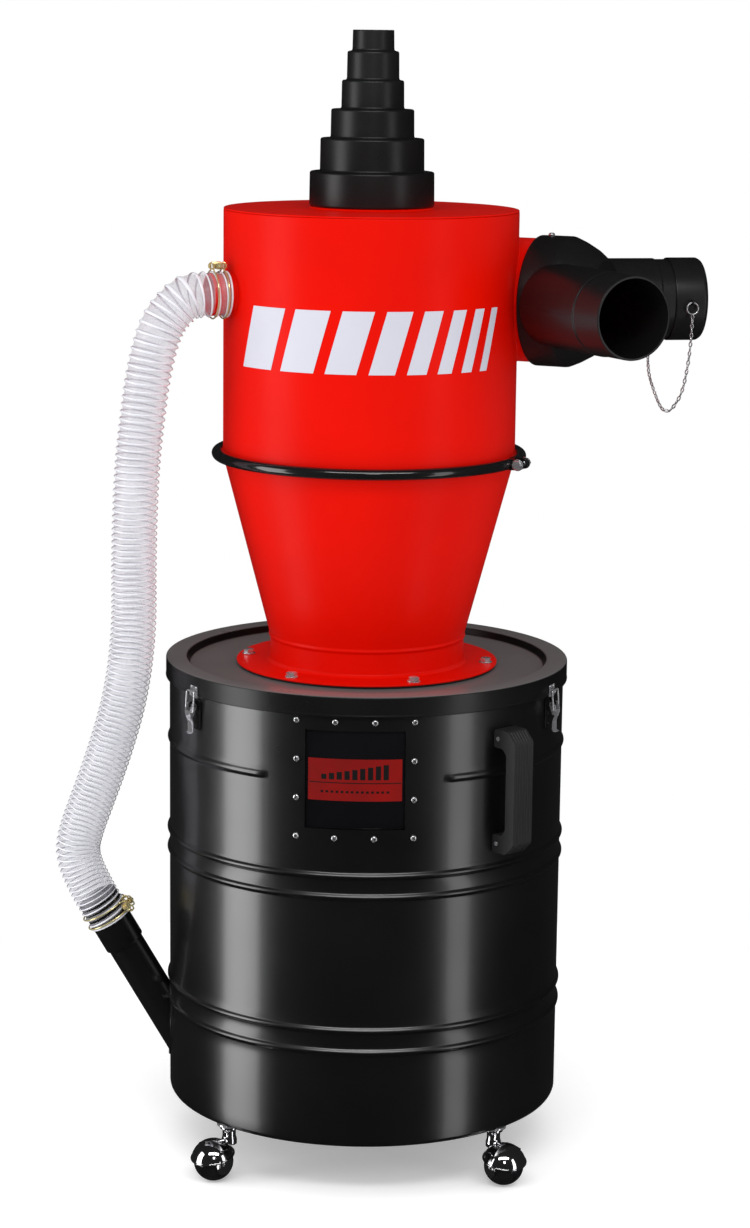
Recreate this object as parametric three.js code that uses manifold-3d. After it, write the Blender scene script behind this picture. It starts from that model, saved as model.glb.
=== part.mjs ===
// Two-stage dust collector: a cyclone separator standing on a wheeled collection drum.
// Millimetres, +Z up. Pieces are drawn around the drum's axis with z = 0 at the drum's
// underside, and the whole assembly is then set on the floor, centred over the origin.
import * as THREE from 'three';
import { mergeVertices } from 'three/addons/utils/BufferGeometryUtils.js';
import Module from 'manifold-3d';

const wasm = await Module();
wasm.setup();

// ---- driving dimensions -------------------------------------------------------------
const gap = 0.3; // left between pieces that touch
const overrun = 20; // how far cutters and hidden ends run past a wall

// drum
const drumRadius = 242;
const drumHeight = 540;
const drumWall = 1.5;
const drumSides = 36;
const hoopProud = 2.4;
const hoopHalfHeight = 6;
const lowHoops = [117.4, 143.9]; // up from the underside
const highHoops = [232.7, 207.4]; // down from the upper edge
const ribDrop = 92.5; // down from the upper edge
const ribProud = 1.6;
const ribHalfHeight = 7;
const ribHalfFlat = 4;
const ribBreakAngle = 25; // half of the rib's gap at the window
const floorSheet = 1.5;
const floorUpstand = 20;

// level window
const windowAzimuth = -2.9;
const windowHalfAngle = 14;
const windowDrop = 33.5; // below the drum's upper edge
const windowTall = 117.5;
const windowMargin = 20; // sheet around the opening that the retainer grips
const windowMarginAngle = 5;
const screwMargin = 10.6; // from the opening out to the screws
const screwMarginAngle = 2.5;
const paneThickness = 2;
const retainerThickness = 1.6;
const labelMarginAngle = 0.8;
const labelDrop = 33.5; // below the opening's upper edge
const labelTall = 50;
const labelThickness = 0.6;
const screwShank = 1.6;
const screwHead = 3.4;
const screwHeadHeight = 2.2;
const screwPerSide = 4;

// carrying handles
const handleAzimuths = { handle_right: 42, handle_left: -138 };
const handleDrop = 40; // below the drum's upper edge
const handleTall = 149;
const handleReach = 35;
const handleWidth = 31;
const handleGrip = 14;
const handleFoot = 22;
const handleCorner = 13;
const gripChamfer = [4, 5];

// toggle latches
const latchAzimuths = [-56, 64, 184];
const pinReach = 8; // lever pin, out from the drum wall
const pinRadius = 1.6;
const pinDrop = 11; // lever pin below the lower edge of the lid's skirt
const bailOffset = [3, -7]; // bail pivot from the lever pin, outward and up
const bailWire = 1.1;
const bailSideGap = 1.2; // between lever and bail
const wireGap = 0.6; // between the keeper and the bail, outward
const leverLength = 34;
const leverHalfWidth = 6.2;
const leverSheet = 1.5;
const latchSheet = 1.5;
const latchPlateLip = 2.8; // base plate, each side of the lever
const latchPlateDrop = 30;
const latchPlateRise = 7;
const keeperReach = 3.1;
const keeperHeight = 4;
const keeperSeat = 4.3; // keeper's upper edge above the skirt's lower edge
const keeperPlay = 1; // between the keeper's upper edge and the bail
const keeperSideGap = 1.4;

// lid
const lidGap = 3; // between drum wall and skirt
const lidSheet = 1.5;
const lidRise = 8; // rim above the drum's edge
const lidSkirt = 24;
const rimWidth = 21; // from the drum wall in to the recess
const rimSlope = 4;
const slopeShift = 1.4; // underside of the slope, outward
const recessDepth = 9.5;
const lidHoleLip = 7; // lid left inside the cone's outlet
const lidGasketSetback = 2.1;

// cone
const flangeSheet = 2.5;
const gasketSheet = 2;
const gasketInset = 2;
const gasketLip = 3;
const boltInset = 28; // bolt circle outside the cone's outlet
const flangeLip = 13; // flange outside the bolt circle
const boltCount = 6;
const boltTurn = 22.5;
const boltShank = 3;
const boltHead = 6.5;
const boltHeadHeight = 6;
const washerLip = 1.6;
const washerSheet = 1.4;
const nutHeight = 5;
const threadReach = 8;
const coneOutlet = 119;
const coneInset = 0.6; // cone's wide end inside the cylinder's radius
const bead = 2;
const collarHeight = 34;
const coneRise = 220;
const shellSheet = 1.5;

// cyclone cylinder
const cycloneRadius = 177.3;
const cycloneSides = 32;
const cylinderHeight = 294.8;
const coverSheet = 2;
const bandLip = 7.2; // clamped flanges outside the cylinder
const bandFlangeSheet = 2;
const bandGasket = 1.4;
const bandTube = 7;
const bandAzimuth = 66;
const lugReach = 14;
const lugHalfGap = 5;
const lugSheet = 6;
const lugRoot = 3; // lug's root, out from the flanges
const bandBolt = 3.2;
const bandBoltHead = 6;
const bandHeadHeight = 5;
const bandNutHeight = 6;
const bandThreadReach = 13;

// outlet
const outletSides = 24;
const vortexDepth = 190;
const outletClearance = 0.6; // between the cover's collar and the adapter
const collarSetback = 3.3; // collar's end below the adapter's first step
const adapterLift = 2.2; // adapter's foot above the cover
const adapterWall = 2.2;
const adapterRadii = [75, 62.5, 50, 37.5, 31.25, 25];
const adapterRises = [41.3, 39.4, 34.2, 33.8, 34, 24.8];

// inlet
const pipeSides = 24;
const inletDrop = 109.9; // axis below the cyclone's top
const inletAzimuth = -24; // plan angle of the inlet axis from +X
const ductRadius = 74.8;
const ductWall = 1.5;
const ductInset = 1; // duct's side inside the cylinder's side
const ductStart = 30; // along the inlet axis, where the duct opens into the cylinder
const ductSetback = 2.4; // duct's end short of the socket's floor
const socketStandoff = 2.76; // socket's mouth clear of the cylinder
const socketLength = 40.4;
const socketWall = 3.6;
const fitClearance = 0.4;
const wyeWall = 2.6;
const coneLength = 44;
const coneLip = 3; // cone's narrow end outside the branches
const nodeSetback = 20.6; // the three axes meet this far inside the socket's mouth
const portRadius = 48.5;
const branchStep = 1.2;
const portNeck = 55;
const frontPortAngle = -39.5;
const sidePortAngle = 34.5;
const frontPortLength = 257;
const sidePortLength = 216;
const capWall = 1.5;
const capDepth = 38;
const capCrown = 2.5;
const wyeScrewAt = 14; // from the socket's mouth
const wyeScrewShank = 2;
const wyeScrewHead = 4;
const wyeScrewHeight = 3.4;
const eyeletSetback = 70; // from the side port's mouth
const eyeletLean = [0.72, -0.7]; // forward and up, in branch radii

// hose run
const stubAzimuth = -70;
const stubDrop = 99.4;
const stubWall = 1.6;
const stubLength = 26;
const hoseRadius = 27.5;
const hoseSides = 10;
const hoseSplit = 600;
const hoseCuff = 3; // hose wall over the stub
const sleeveCuff = 2.3; // hose wall over the spout's sleeve
const clampFit = 0.5;
const clampBand = 1.2;
const clampWidth = 12;
const spoutAzimuth = -85;
const spoutHeight = 87;
const spoutSlope = 60;
const spoutWall = 2;
const sleeveStep = 2.45;
const sleeveStart = 112;
const spoutLength = 182;
const stubClampAt = 9;
const spoutClampDrop = 31; // from the spout's mouth

// casters
const casterAngles = [-45, 45, 135, -135];
const casterTurns = [-136, -61, 20, 165]; // plan angle of each trail from +X
const casterInset = 15;
const casterDrop = 43; // wheel's axle below the drum
const casterTrail = 25;
const casterPlate = 15;
const casterPlateSheet = 3;
const stemRadius = 5;
const stemLength = 14;
const stemClearance = 0.7;
const bossWall = 4;
const bossFoot = 10; // above the axle
const wheelRadius = 24;
const wheelHalfWidth = 18.8;
const axleRadius = 3;
const axleClearance = 0.6;
const hoodGap = 3.5;
const hoodSheet = 1.7;
const brimRise = 7; // hood's brim above the axle
const earGap = 0.7;
const earSheet = 1.5;
const earRadius = 12.5;
const strapHalfWidth = 7;
const strapInset = 1.6;

// ---- sizes worked out from the driving ones ---------------------------------------------
const hoops = [...lowHoops, ...highHoops.map((drop) => drumHeight - drop)];
const ribHeight = drumHeight - ribDrop;
const windowTop = drumHeight - windowDrop;
const windowBottom = windowTop - windowTall;
const labelTop = windowTop - labelDrop;
const labelBottom = labelTop - labelTall;
const handleBottom = drumHeight - handleDrop - handleTall;
const bailHalfWidth = leverHalfWidth + bailSideGap + bailWire;
const bailRise = pinDrop + keeperSeat + keeperPlay + bailWire - bailOffset[1];
const keeperFoot = lidGap + lidSheet + gap; // outside the drum wall
const bailLean = keeperFoot + keeperReach + wireGap + bailWire - pinReach - bailOffset[0];
const rimInner = drumRadius - rimWidth;
const lidHole = coneOutlet - lidHoleLip;
const boltCircle = coneOutlet + boltInset;
const flangeRadius = boltCircle + flangeLip;
const bandFlange = cycloneRadius + bandLip;
const outletRadius = adapterRadii[0] - adapterWall - outletClearance;
const collarRise = adapterLift + adapterRises[0] - adapterWall - collarSetback;
const branchRadius = portRadius + branchStep;
const socketRadius = ductRadius + fitClearance + socketWall;
const inletOffset = cycloneRadius - ductRadius - ductInset;
const socketSide = Math.max(inletOffset - socketRadius, 0);
const socketStart = Math.sqrt(cycloneRadius ** 2 - socketSide ** 2) + socketStandoff;
const socketEnd = socketStart + socketLength;
const ductEnd = socketEnd - wyeWall - ductSetback;
const wyeNode = socketStart - nodeSetback;
const stubRadius = hoseRadius - hoseCuff;
const sleeveRadius = hoseRadius - sleeveCuff;
const spoutRadius = sleeveRadius - sleeveStep;
const clampRadius = hoseRadius + clampFit;
const wheelZ = -casterDrop; // height of the axles
const hoodRadius = wheelRadius + hoodGap;
const earMiddle = wheelHalfWidth + earGap + earSheet / 2;
const lidTop = drumHeight + lidRise;
const skirtBottom = lidTop - lidSkirt;
const lidFloorTop = lidTop - recessDepth;
const flangeBottom = lidFloorTop + gap + gasketSheet + gap;
const flangeTop = flangeBottom + flangeSheet;
const coneBottom = flangeBottom + collarHeight;
const bandLow = coneBottom + coneRise;
const bandMid = bandLow + bandFlangeSheet + gap + bandGasket / 2;
const bandHigh = bandMid + bandGasket / 2 + gap;
const cycloneTop = bandHigh + cylinderHeight;
const inletHeight = cycloneTop - inletDrop;
const stubHeight = cycloneTop - stubDrop;
const drumSag = drumRadius * (1 - Math.cos(Math.PI / drumSides));
const paneRadius = drumRadius - drumWall - drumSag - gap;
const pinHeight = skirtBottom - pinDrop;

const shiny = (color, roughness, metalness) =>
  new THREE.MeshStandardMaterial({ color, roughness, metalness });
const finish = {
  blackPaint: () => shiny(0x0b0b0c, 0.25, 0.2),
  redPaint: () => shiny(0xd11006, 0.22, 0.1),
  plastic: () => shiny(0x17181a, 0.45, 0),
  chrome: () => shiny(0xd8d8d8, 0.12, 1),
  zinc: () => shiny(0xc8b25a, 0.3, 1),
  rubber: () => shiny(0x0e0e0e, 0.6, 0),
  hose: () => shiny(0xe6e7ea, 0.35, 0),
  pane: () => shiny(0x101214, 0.08, 0),
  label: () => shiny(0x9c0f0c, 0.5, 0),
};

// ---- solids ---------------------------------------------------------------------------
const radians = THREE.MathUtils.degToRad;
const up = new THREE.Vector3(0, 0, 1);

// a closed three.js geometry as a manifold solid, with its faces turned outward
function solid(geometry) {
  const bare = geometry.index ? geometry.clone() : mergeVertices(geometry);
  bare.deleteAttribute('normal');
  bare.deleteAttribute('uv');
  const merged = mergeVertices(bare, 1e-4);
  const place = merged.attributes.position.array;
  const raw = merged.index.array;
  const kept = [];
  let volume = 0;
  for (let i = 0; i < raw.length; i += 3) {
    const [a, b, c] = [raw[i], raw[i + 1], raw[i + 2]];
    if (a === b || b === c || c === a) continue;
    kept.push(a, b, c);
    const [p, q, r] = [a, b, c].map((k) => new THREE.Vector3().fromArray(place, 3 * k));
    volume += p.dot(q.cross(r));
  }
  if (volume < 0) kept.reverse();
  const mesh = new wasm.Mesh({
    numProp: 3,
    vertProperties: Float32Array.from(place),
    triVerts: Uint32Array.from(kept),
  });
  return new wasm.Manifold(mesh);
}

function geometryOf(body) {
  const mesh = body.getMesh();
  const geometry = new THREE.BufferGeometry();
  geometry.setAttribute('position', new THREE.BufferAttribute(mesh.vertProperties, 3));
  geometry.setIndex(new THREE.BufferAttribute(mesh.triVerts, 1));
  geometry.computeVertexNormals();
  return geometry;
}

const join = (...bodies) => bodies.reduce((a, b) => a.add(b));
const cut = (body, ...tools) => tools.reduce((a, b) => a.subtract(b), body);

// a profile of [radius, z] points turned about Z
function turned(profile, sides = 32) {
  const points = profile.map(([r, z]) => new THREE.Vector2(r, z));
  if (profile[0][0] > 0 || profile[profile.length - 1][0] > 0) points.push(points[0].clone());
  return solid(new THREE.LatheGeometry(points, sides).rotateX(Math.PI / 2));
}

const rod = (radius, low, high, sides = 16) =>
  turned([[0, low], [radius, low], [radius, high], [0, high]], sides);

const pipe = (outer, inner, low, high, sides = 32) =>
  turned([[inner, low], [outer, low], [outer, high], [inner, high]], sides);

function block([x0, x1], [y0, y1], [z0, z1]) {
  const box = new THREE.BoxGeometry(x1 - x0, y1 - y0, z1 - z0);
  return solid(box.translate((x0 + x1) / 2, (y0 + y1) / 2, (z0 + z1) / 2));
}

// a round path of straight sides
function ringOf(x, y, radius, sides) {
  const points = [];
  for (let i = 0; i < sides; i += 1) {
    const a = (2 * Math.PI * i) / sides;
    points.push(new THREE.Vector2(x + radius * Math.cos(a), y + radius * Math.sin(a)));
  }
  return new THREE.Shape(points);
}

// an outline of [x, z] points made solid, from y = low to y = high
function slab(outline, low, high, holes = []) {
  const shape = new THREE.Shape(outline.map(([x, z]) => new THREE.Vector2(x, z)));
  for (const [x, z, radius] of holes) shape.holes.push(ringOf(x, z, radius, 8));
  const flat = new THREE.ExtrudeGeometry(shape, {
    depth: high - low,
    bevelEnabled: false,
  });
  return solid(flat.rotateX(Math.PI / 2).translate(0, high, 0));
}

// a plate that follows the drum's wall, between two plan angles and two heights
function curvedPlate(inner, outer, halfAngle, low, high, steps = 10) {
  const middle = radians(windowAzimuth - 90);
  const half = radians(halfAngle);
  const shape = new THREE.Shape();
  shape.absarc(0, 0, outer, middle - half, middle + half, false);
  shape.absarc(0, 0, inner, middle + half, middle - half, true);
  const plate = new THREE.ExtrudeGeometry(shape, {
    depth: high - low,
    bevelEnabled: false,
    curveSegments: steps,
  });
  return solid(plate.translate(0, 0, low));
}

function moved(body, matrix) {
  return body.transform(matrix.toArray());
}

// turns a solid drawn along +Z so that it points along a direction from a place
function aimed(body, direction, place) {
  const turn = new THREE.Quaternion().setFromUnitVectors(up, direction.clone().normalize());
  const matrix = new THREE.Matrix4().compose(place, turn, new THREE.Vector3(1, 1, 1));
  return moved(body, matrix);
}

// +X becomes the outward direction at an azimuth measured from the front (-Y) towards +X
function frameAt(azimuth, radius, height) {
  const matrix = new THREE.Matrix4().makeRotationZ(radians(azimuth - 90));
  const outward = outwardAt(azimuth).multiplyScalar(radius);
  return matrix.setPosition(outward.x, outward.y, height);
}

const outwardAt = (azimuth) =>
  new THREE.Vector3(Math.sin(radians(azimuth)), -Math.cos(radians(azimuth)), 0);

const planar = (angle) =>
  new THREE.Vector3(Math.cos(radians(angle)), Math.sin(radians(angle)), 0);

// ---- assembly ---------------------------------------------------------------------------
const assembly = new THREE.Group();
assembly.name = 'dust_collector';
const anchors = {}; // joint places and axes, kept for whoever rigs the model

function addPart(name, body, material) {
  const mesh = new THREE.Mesh(geometryOf(body), material);
  mesh.name = name;
  assembly.add(mesh);
}

const anchor = (name, place, axis) => {
  anchors[name] = { place: place.clone(), axis: axis.clone().normalize() };
};

// ---- drum -------------------------------------------------------------------------------
function hoop(height) {
  return [
    [drumRadius, height - hoopHalfHeight],
    [drumRadius + hoopProud, height],
    [drumRadius, height + hoopHalfHeight],
  ];
}

// places of the window's screws, each as [azimuth, height]
function windowScrews() {
  const half = windowHalfAngle + screwMarginAngle;
  const spots = [];
  for (let i = 0; i < screwPerSide; i += 1) {
    for (let j = 0; j < screwPerSide; j += 1) {
      const edge = i % (screwPerSide - 1) === 0 || j % (screwPerSide - 1) === 0;
      const across = windowAzimuth - half + (2 * half * i) / (screwPerSide - 1);
      const tall = windowTall + 2 * screwMargin;
      const rise = windowBottom - screwMargin + (tall * j) / (screwPerSide - 1);
      if (edge) spots.push([across, rise]);
    }
  }
  return spots;
}

const windowOpening = () =>
  curvedPlate(drumRadius - overrun, drumRadius + overrun, windowHalfAngle, windowBottom, windowTop);

const radialRod = (azimuth, height, radius, from, to, sides) =>
  aimed(rod(radius, from, to, sides), outwardAt(azimuth), new THREE.Vector3(0, 0, height));

const screwHoles = () => windowScrews().map(([azimuth, height]) =>
  radialRod(azimuth, height, screwShank + gap, drumRadius - overrun, drumRadius + overrun, 6));

const entryReach = spoutRadius * Math.tan(radians(spoutSlope)) + overrun;
const spoutDirection = outwardAt(spoutAzimuth)
  .multiplyScalar(Math.cos(radians(spoutSlope)))
  .addScaledVector(up, Math.sin(radians(spoutSlope)));
const spoutFoot = outwardAt(spoutAzimuth)
  .multiplyScalar(drumRadius)
  .setZ(spoutHeight);

function drumShell() {
  const outside = hoops.flatMap(hoop);
  const inside = drumRadius - drumWall;
  const wall = turned(
    [[inside, 0], [drumRadius, 0], ...outside, [drumRadius, drumHeight], [inside, drumHeight]],
    drumSides,
  );
  const rib = turned(
    [
      [drumRadius - drumWall / 2, ribHeight - ribHalfHeight],
      [drumRadius, ribHeight - ribHalfHeight],
      [drumRadius + ribProud, ribHeight - ribHalfFlat],
      [drumRadius + ribProud, ribHeight + ribHalfFlat],
      [drumRadius, ribHeight + ribHalfHeight],
      [drumRadius - drumWall / 2, ribHeight + ribHalfHeight],
    ],
    drumSides,
  );
  const ribBreak = curvedPlate(
    drumRadius - overrun,
    drumRadius + overrun,
    ribBreakAngle,
    ribHeight - 2 * ribHalfHeight,
    ribHeight + 2 * ribHalfHeight,
  );
  const entry = aimed(rod(spoutRadius + gap, -entryReach, entryReach, 24), spoutDirection, spoutFoot);
  return cut(join(wall, cut(rib, ribBreak)), windowOpening(), entry, ...screwHoles());
}

function drumFloor() {
  const rim = drumRadius - drumWall - drumSag - gap;
  return turned(
    [
      [0, 0],
      [rim, 0],
      [rim, floorUpstand],
      [rim - floorSheet, floorUpstand],
      [rim - floorSheet, floorSheet],
      [0, floorSheet],
    ],
    drumSides,
  );
}

function spoutPipe() {
  const body = turned(
    [
      [spoutRadius - spoutWall, -entryReach],
      [spoutRadius, -entryReach],
      [spoutRadius, sleeveStart],
      [sleeveRadius, sleeveStart],
      [sleeveRadius, spoutLength],
      [spoutRadius - spoutWall, spoutLength],
    ],
    24,
  );
  const inside = rod(drumRadius - drumWall, -overrun, drumHeight, drumSides);
  return cut(aimed(body, spoutDirection, spoutFoot), inside);
}

function windowPane() {
  const half = windowHalfAngle + windowMarginAngle;
  const plate = curvedPlate(
    paneRadius - paneThickness,
    paneRadius,
    half,
    windowBottom - windowMargin,
    windowTop + windowMargin,
  );
  return cut(plate, ...screwHoles());
}

function windowRetainer() {
  const outer = paneRadius - paneThickness - gap;
  const half = windowHalfAngle + windowMarginAngle;
  const frame = curvedPlate(
    outer - retainerThickness,
    outer,
    half,
    windowBottom - windowMargin,
    windowTop + windowMargin,
  );
  const headFoot = drumRadius + gap;
  const screws = windowScrews().map(([azimuth, height]) => join(
    radialRod(azimuth, height, screwShank, outer - retainerThickness / 2, headFoot + gap, 5),
    radialRod(azimuth, height, screwHead, headFoot, headFoot + screwHeadHeight, 6),
  ));
  return join(cut(frame, windowOpening()), ...screws);
}

function levelLabel() {
  const back = paneRadius + gap;
  const half = windowHalfAngle - labelMarginAngle;
  return curvedPlate(back, back + labelThickness, half, labelBottom, labelTop);
}

function handle() {
  const tall = handleTall;
  const corner = handleCorner;
  const inner = handleReach - handleGrip;
  const [chamferIn, chamferUp] = gripChamfer;
  const outline = [
    [gap, 0],
    [handleReach - corner, 0],
    [handleReach, corner],
    [handleReach, tall - corner],
    [handleReach - corner, tall],
    [gap, tall],
    [gap, tall - handleFoot],
    [inner - chamferIn, tall - handleFoot],
    [inner, tall - handleFoot - chamferUp],
    [inner, handleFoot + chamferUp],
    [inner - chamferIn, handleFoot],
    [gap, handleFoot],
  ];
  return slab(outline, -handleWidth / 2, handleWidth / 2);
}

function buildDrum() {
  addPart('drum_shell', drumShell(), finish.blackPaint());
  addPart('drum_floor', drumFloor(), finish.blackPaint());
  addPart('spout_pipe', spoutPipe(), finish.blackPaint());
  addPart('window_pane', windowPane(), finish.pane());
  addPart('window_retainer', windowRetainer(), finish.chrome());
  addPart('level_label', levelLabel(), finish.label());
  for (const [name, azimuth] of Object.entries(handleAzimuths)) {
    const place = frameAt(azimuth, drumRadius, handleBottom);
    addPart(name, moved(handle(), place), finish.plastic());
  }
}

// ---- toggle latches ------------------------------------------------------------------------
// drawn around the lever pin: x outward, y along the wall, z up
function latchBase() {
  const wall = gap - pinReach;
  const plateHalf = leverHalfWidth + latchPlateLip;
  const plate = block([wall, wall + latchSheet], [-plateHalf, plateHalf], [-latchPlateDrop, latchPlateRise]);
  const nose = pinRadius + 1;
  const ear = slab(
    [[wall + 1, -7], [-1, -3], [nose, -pinRadius], [nose, pinRadius], [-1, 3], [wall + 1, 6]],
    -(leverHalfWidth - leverSheet - gap),
    leverHalfWidth - leverSheet - gap,
  );
  const pin = aimed(rod(pinRadius, -leverHalfWidth, leverHalfWidth, 8), new THREE.Vector3(0, 1, 0),
    new THREE.Vector3());
  return join(plate, ear, pin);
}

function latchLever() {
  const [bx, bz] = bailOffset;
  const cheek = [[-2.8, -1.5], [-2.6, 2.4], [2.4, 3], [bx + 2.9, bz + 2], [bx + 2.6, bz - 4], [1.4, bz - 6]];
  const holes = [[0, 0, pinRadius + gap], [bx, bz, bailWire + gap]];
  const left = slab(cheek, -leverHalfWidth, -leverHalfWidth + leverSheet, holes);
  const right = slab(cheek, leverHalfWidth - leverSheet, leverHalfWidth, holes);
  const tip = 6 - leverLength;
  const web = slab(
    [
      [bx + 2.6, bz - 2],
      [bx + 1.2, bz - 2],
      [1, tip],
      [2.2, 1 - leverLength],
      [6.5, -leverLength],
      [6.5, 1.5 - leverLength],
      [3.4, 2.6 - leverLength],
      [2.6, tip],
    ],
    -leverHalfWidth,
    leverHalfWidth,
  );
  return join(left, right, web);
}

function latchBail() {
  const [bx, bz] = bailOffset;
  const turnIn = leverHalfWidth - leverSheet + gap;
  const wire = (from, to) => {
    const along = to.clone().sub(from);
    const length = along.length();
    return aimed(rod(bailWire, -0.8, length + 0.8, 5), along, from);
  };
  const corner = (side, top) => new THREE.Vector3(bx + (top ? bailLean : 0), side * bailHalfWidth,
    bz + (top ? bailRise : 0));
  const ends = [-1, 1].map((side) => {
    const inner = corner(side, false).setY(side * (turnIn + 0.8));
    return join(wire(inner, corner(side, false)), wire(corner(side, false), corner(side, true)));
  });
  return join(...ends, wire(corner(-1, true), corner(1, true)));
}

function latchKeeper() {
  const skirt = drumRadius + keeperFoot;
  const top = skirtBottom + keeperSeat;
  const half = bailHalfWidth - bailWire - keeperSideGap;
  return block([skirt, skirt + keeperReach], [-half, half], [top - keeperHeight, top]);
}

function buildLatches() {
  latchAzimuths.forEach((azimuth, i) => {
    const place = frameAt(azimuth, drumRadius + pinReach, pinHeight);
    const n = i + 1;
    addPart(`latch_base_${n}`, moved(latchBase(), place), finish.chrome());
    addPart(`latch_lever_${n}`, moved(latchLever(), place), finish.chrome());
    addPart(`latch_bail_${n}`, moved(latchBail(), place), finish.chrome());
    addPart(`latch_keeper_${n}`, moved(latchKeeper(), frameAt(azimuth, 0, 0)), finish.chrome());
    const along = new THREE.Vector3(0, 1, 0).transformDirection(place);
    const [bx, bz] = bailOffset;
    anchor(`lever_${n}`, new THREE.Vector3().applyMatrix4(place), along);
    anchor(`bail_${n}`, new THREE.Vector3(bx, 0, bz).applyMatrix4(place), along);
  });
}

// ---- casters -----------------------------------------------------------------------------
// drawn around the stem: x along the trail, z = 0 at the drum's underside
function casterMount() {
  const plate = rod(casterPlate, -gap - casterPlateSheet, -gap, 12);
  return join(plate, rod(stemRadius, -stemLength, -gap, 8));
}

function ball(radius, sides, rings) {
  const place = new THREE.SphereGeometry(radius, sides, rings).rotateX(Math.PI / 2);
  return solid(place);
}

function casterHood() {
  const centre = new THREE.Matrix4().makeTranslation(casterTrail, 0, wheelZ);
  const across = new THREE.Vector3(0, 1, 0);
  const reach = 2 * hoodRadius;
  const brim = block(
    [casterTrail - reach, casterTrail + reach],
    [-reach, reach],
    [wheelZ - reach, wheelZ + brimRise],
  );
  const bossTop = -gap - casterPlateSheet - gap;
  const boss = cut(
    rod(stemRadius + bossWall, wheelZ + bossFoot, bossTop, 8),
    rod(stemRadius + stemClearance, -stemLength - 2, 0, 8),
  );
  const shell = cut(moved(ball(hoodRadius, 12, 6), centre), brim);
  const cavity = moved(ball(hoodRadius - hoodSheet, 12, 6), centre);
  const cap = cut(join(shell, boss), cavity);
  const hub = new THREE.Vector3(casterTrail, 0, wheelZ);
  const strapTop = wheelZ + Math.sqrt(hoodRadius ** 2 - earMiddle ** 2) - strapInset;
  const strapSides = [casterTrail - strapHalfWidth, casterTrail + strapHalfWidth];
  const ears = [-1, 1].map((side) => {
    const low = side * earMiddle - earSheet / 2;
    const high = side * earMiddle + earSheet / 2;
    const disc = aimed(rod(earRadius, low, high, 10), across, hub);
    return join(disc, block(strapSides, [low, high], [wheelZ, strapTop]));
  });
  return join(cap, ...ears, aimed(rod(axleRadius, -earMiddle, earMiddle, 6), across, hub));
}

function casterWheel() {
  const limit = Math.asin(wheelHalfWidth / wheelRadius);
  const wheelBore = axleRadius + axleClearance;
  const steps = 4;
  const tread = [];
  for (let i = 0; i <= steps; i += 1) {
    const a = -limit + (2 * limit * i) / steps;
    tread.push([wheelRadius * Math.cos(a), wheelRadius * Math.sin(a)]);
  }
  const body = turned([[wheelBore, -wheelHalfWidth], ...tread, [wheelBore, wheelHalfWidth]], 12);
  return aimed(body, new THREE.Vector3(0, 1, 0), new THREE.Vector3(casterTrail, 0, wheelZ));
}

function buildCasters() {
  const radius = drumRadius - casterInset;
  casterAngles.forEach((azimuth, i) => {
    const n = i + 1;
    const stem = outwardAt(azimuth).multiplyScalar(radius);
    const place = new THREE.Matrix4().makeRotationZ(radians(casterTurns[i]));
    place.setPosition(stem.x, stem.y, 0);
    addPart(`caster_mount_${n}`, moved(casterMount(), place), finish.chrome());
    addPart(`caster_hood_${n}`, moved(casterHood(), place), finish.chrome());
    addPart(`caster_wheel_${n}`, moved(casterWheel(), place), finish.rubber());
    const hub = new THREE.Vector3(casterTrail, 0, wheelZ);
    anchor(`swivel_${n}`, stem, up);
    anchor(`wheel_${n}`, hub.applyMatrix4(place), new THREE.Vector3(0, 1, 0).transformDirection(place));
  });
}

// ---- lid ---------------------------------------------------------------------------------
const boltSpots = Array.from({ length: boltCount }, (_, i) => boltTurn + (360 / boltCount) * i);

const boltHoles = (low, high) =>
  boltSpots.map((azimuth) => {
    const spot = outwardAt(azimuth).multiplyScalar(boltCircle);
    return aimed(rod(boltShank + gap, low, high, 6), up, spot);
  });

function lid() {
  const skirt = drumRadius + lidGap;
  const low = lidFloorTop - lidSheet;
  const pan = turned(
    [
      [lidHole, low],
      [rimInner - rimSlope + slopeShift, low],
      [rimInner + slopeShift, lidTop - lidSheet],
      [skirt, lidTop - lidSheet],
      [skirt, skirtBottom],
      [skirt + lidSheet, skirtBottom],
      [skirt + lidSheet, lidTop - lidSheet],
      [skirt, lidTop],
      [rimInner, lidTop],
      [rimInner - rimSlope, lidFloorTop],
      [lidHole, lidFloorTop],
    ],
    drumSides,
  );
  return cut(pan, ...boltHoles(low - overrun, lidFloorTop + overrun));
}

function lidGasket() {
  const outer = drumRadius + lidGap - gap - drumSag;
  const inner = rimInner + slopeShift + lidGasketSetback;
  return pipe(outer, inner, drumHeight + gap, lidTop - lidSheet - gap, drumSides);
}

function flangeGasket() {
  const low = lidFloorTop + gap;
  const [outer, inner] = [flangeRadius - gasketInset, coneOutlet - gasketLip];
  return cut(pipe(outer, inner, low, low + gasketSheet, 32), ...boltHoles(low - overrun, low + overrun));
}

function flangeBolt(azimuth) {
  const spot = outwardAt(azimuth).multiplyScalar(boltCircle);
  const under = lidFloorTop - lidSheet - gap;
  const seatZ = flangeTop + gap;
  const washer = rod(boltHead + washerLip, seatZ, seatZ + washerSheet, 10);
  const head = rod(boltHead, seatZ + washerSheet / 2, seatZ + boltHeadHeight, 6);
  const shank = rod(boltShank, under - threadReach, seatZ + washerSheet, 6);
  const nut = rod(boltHead, under - nutHeight, under, 6);
  return aimed(join(washer, head, shank, nut), up, spot);
}

function buildLid() {
  addPart('lid', lid(), finish.blackPaint());
  addPart('lid_gasket', lidGasket(), finish.rubber());
  addPart('flange_gasket', flangeGasket(), finish.rubber());
  boltSpots.forEach((azimuth, i) => {
    addPart(`flange_bolt_${i + 1}`, flangeBolt(azimuth), finish.chrome());
  });
}

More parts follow.
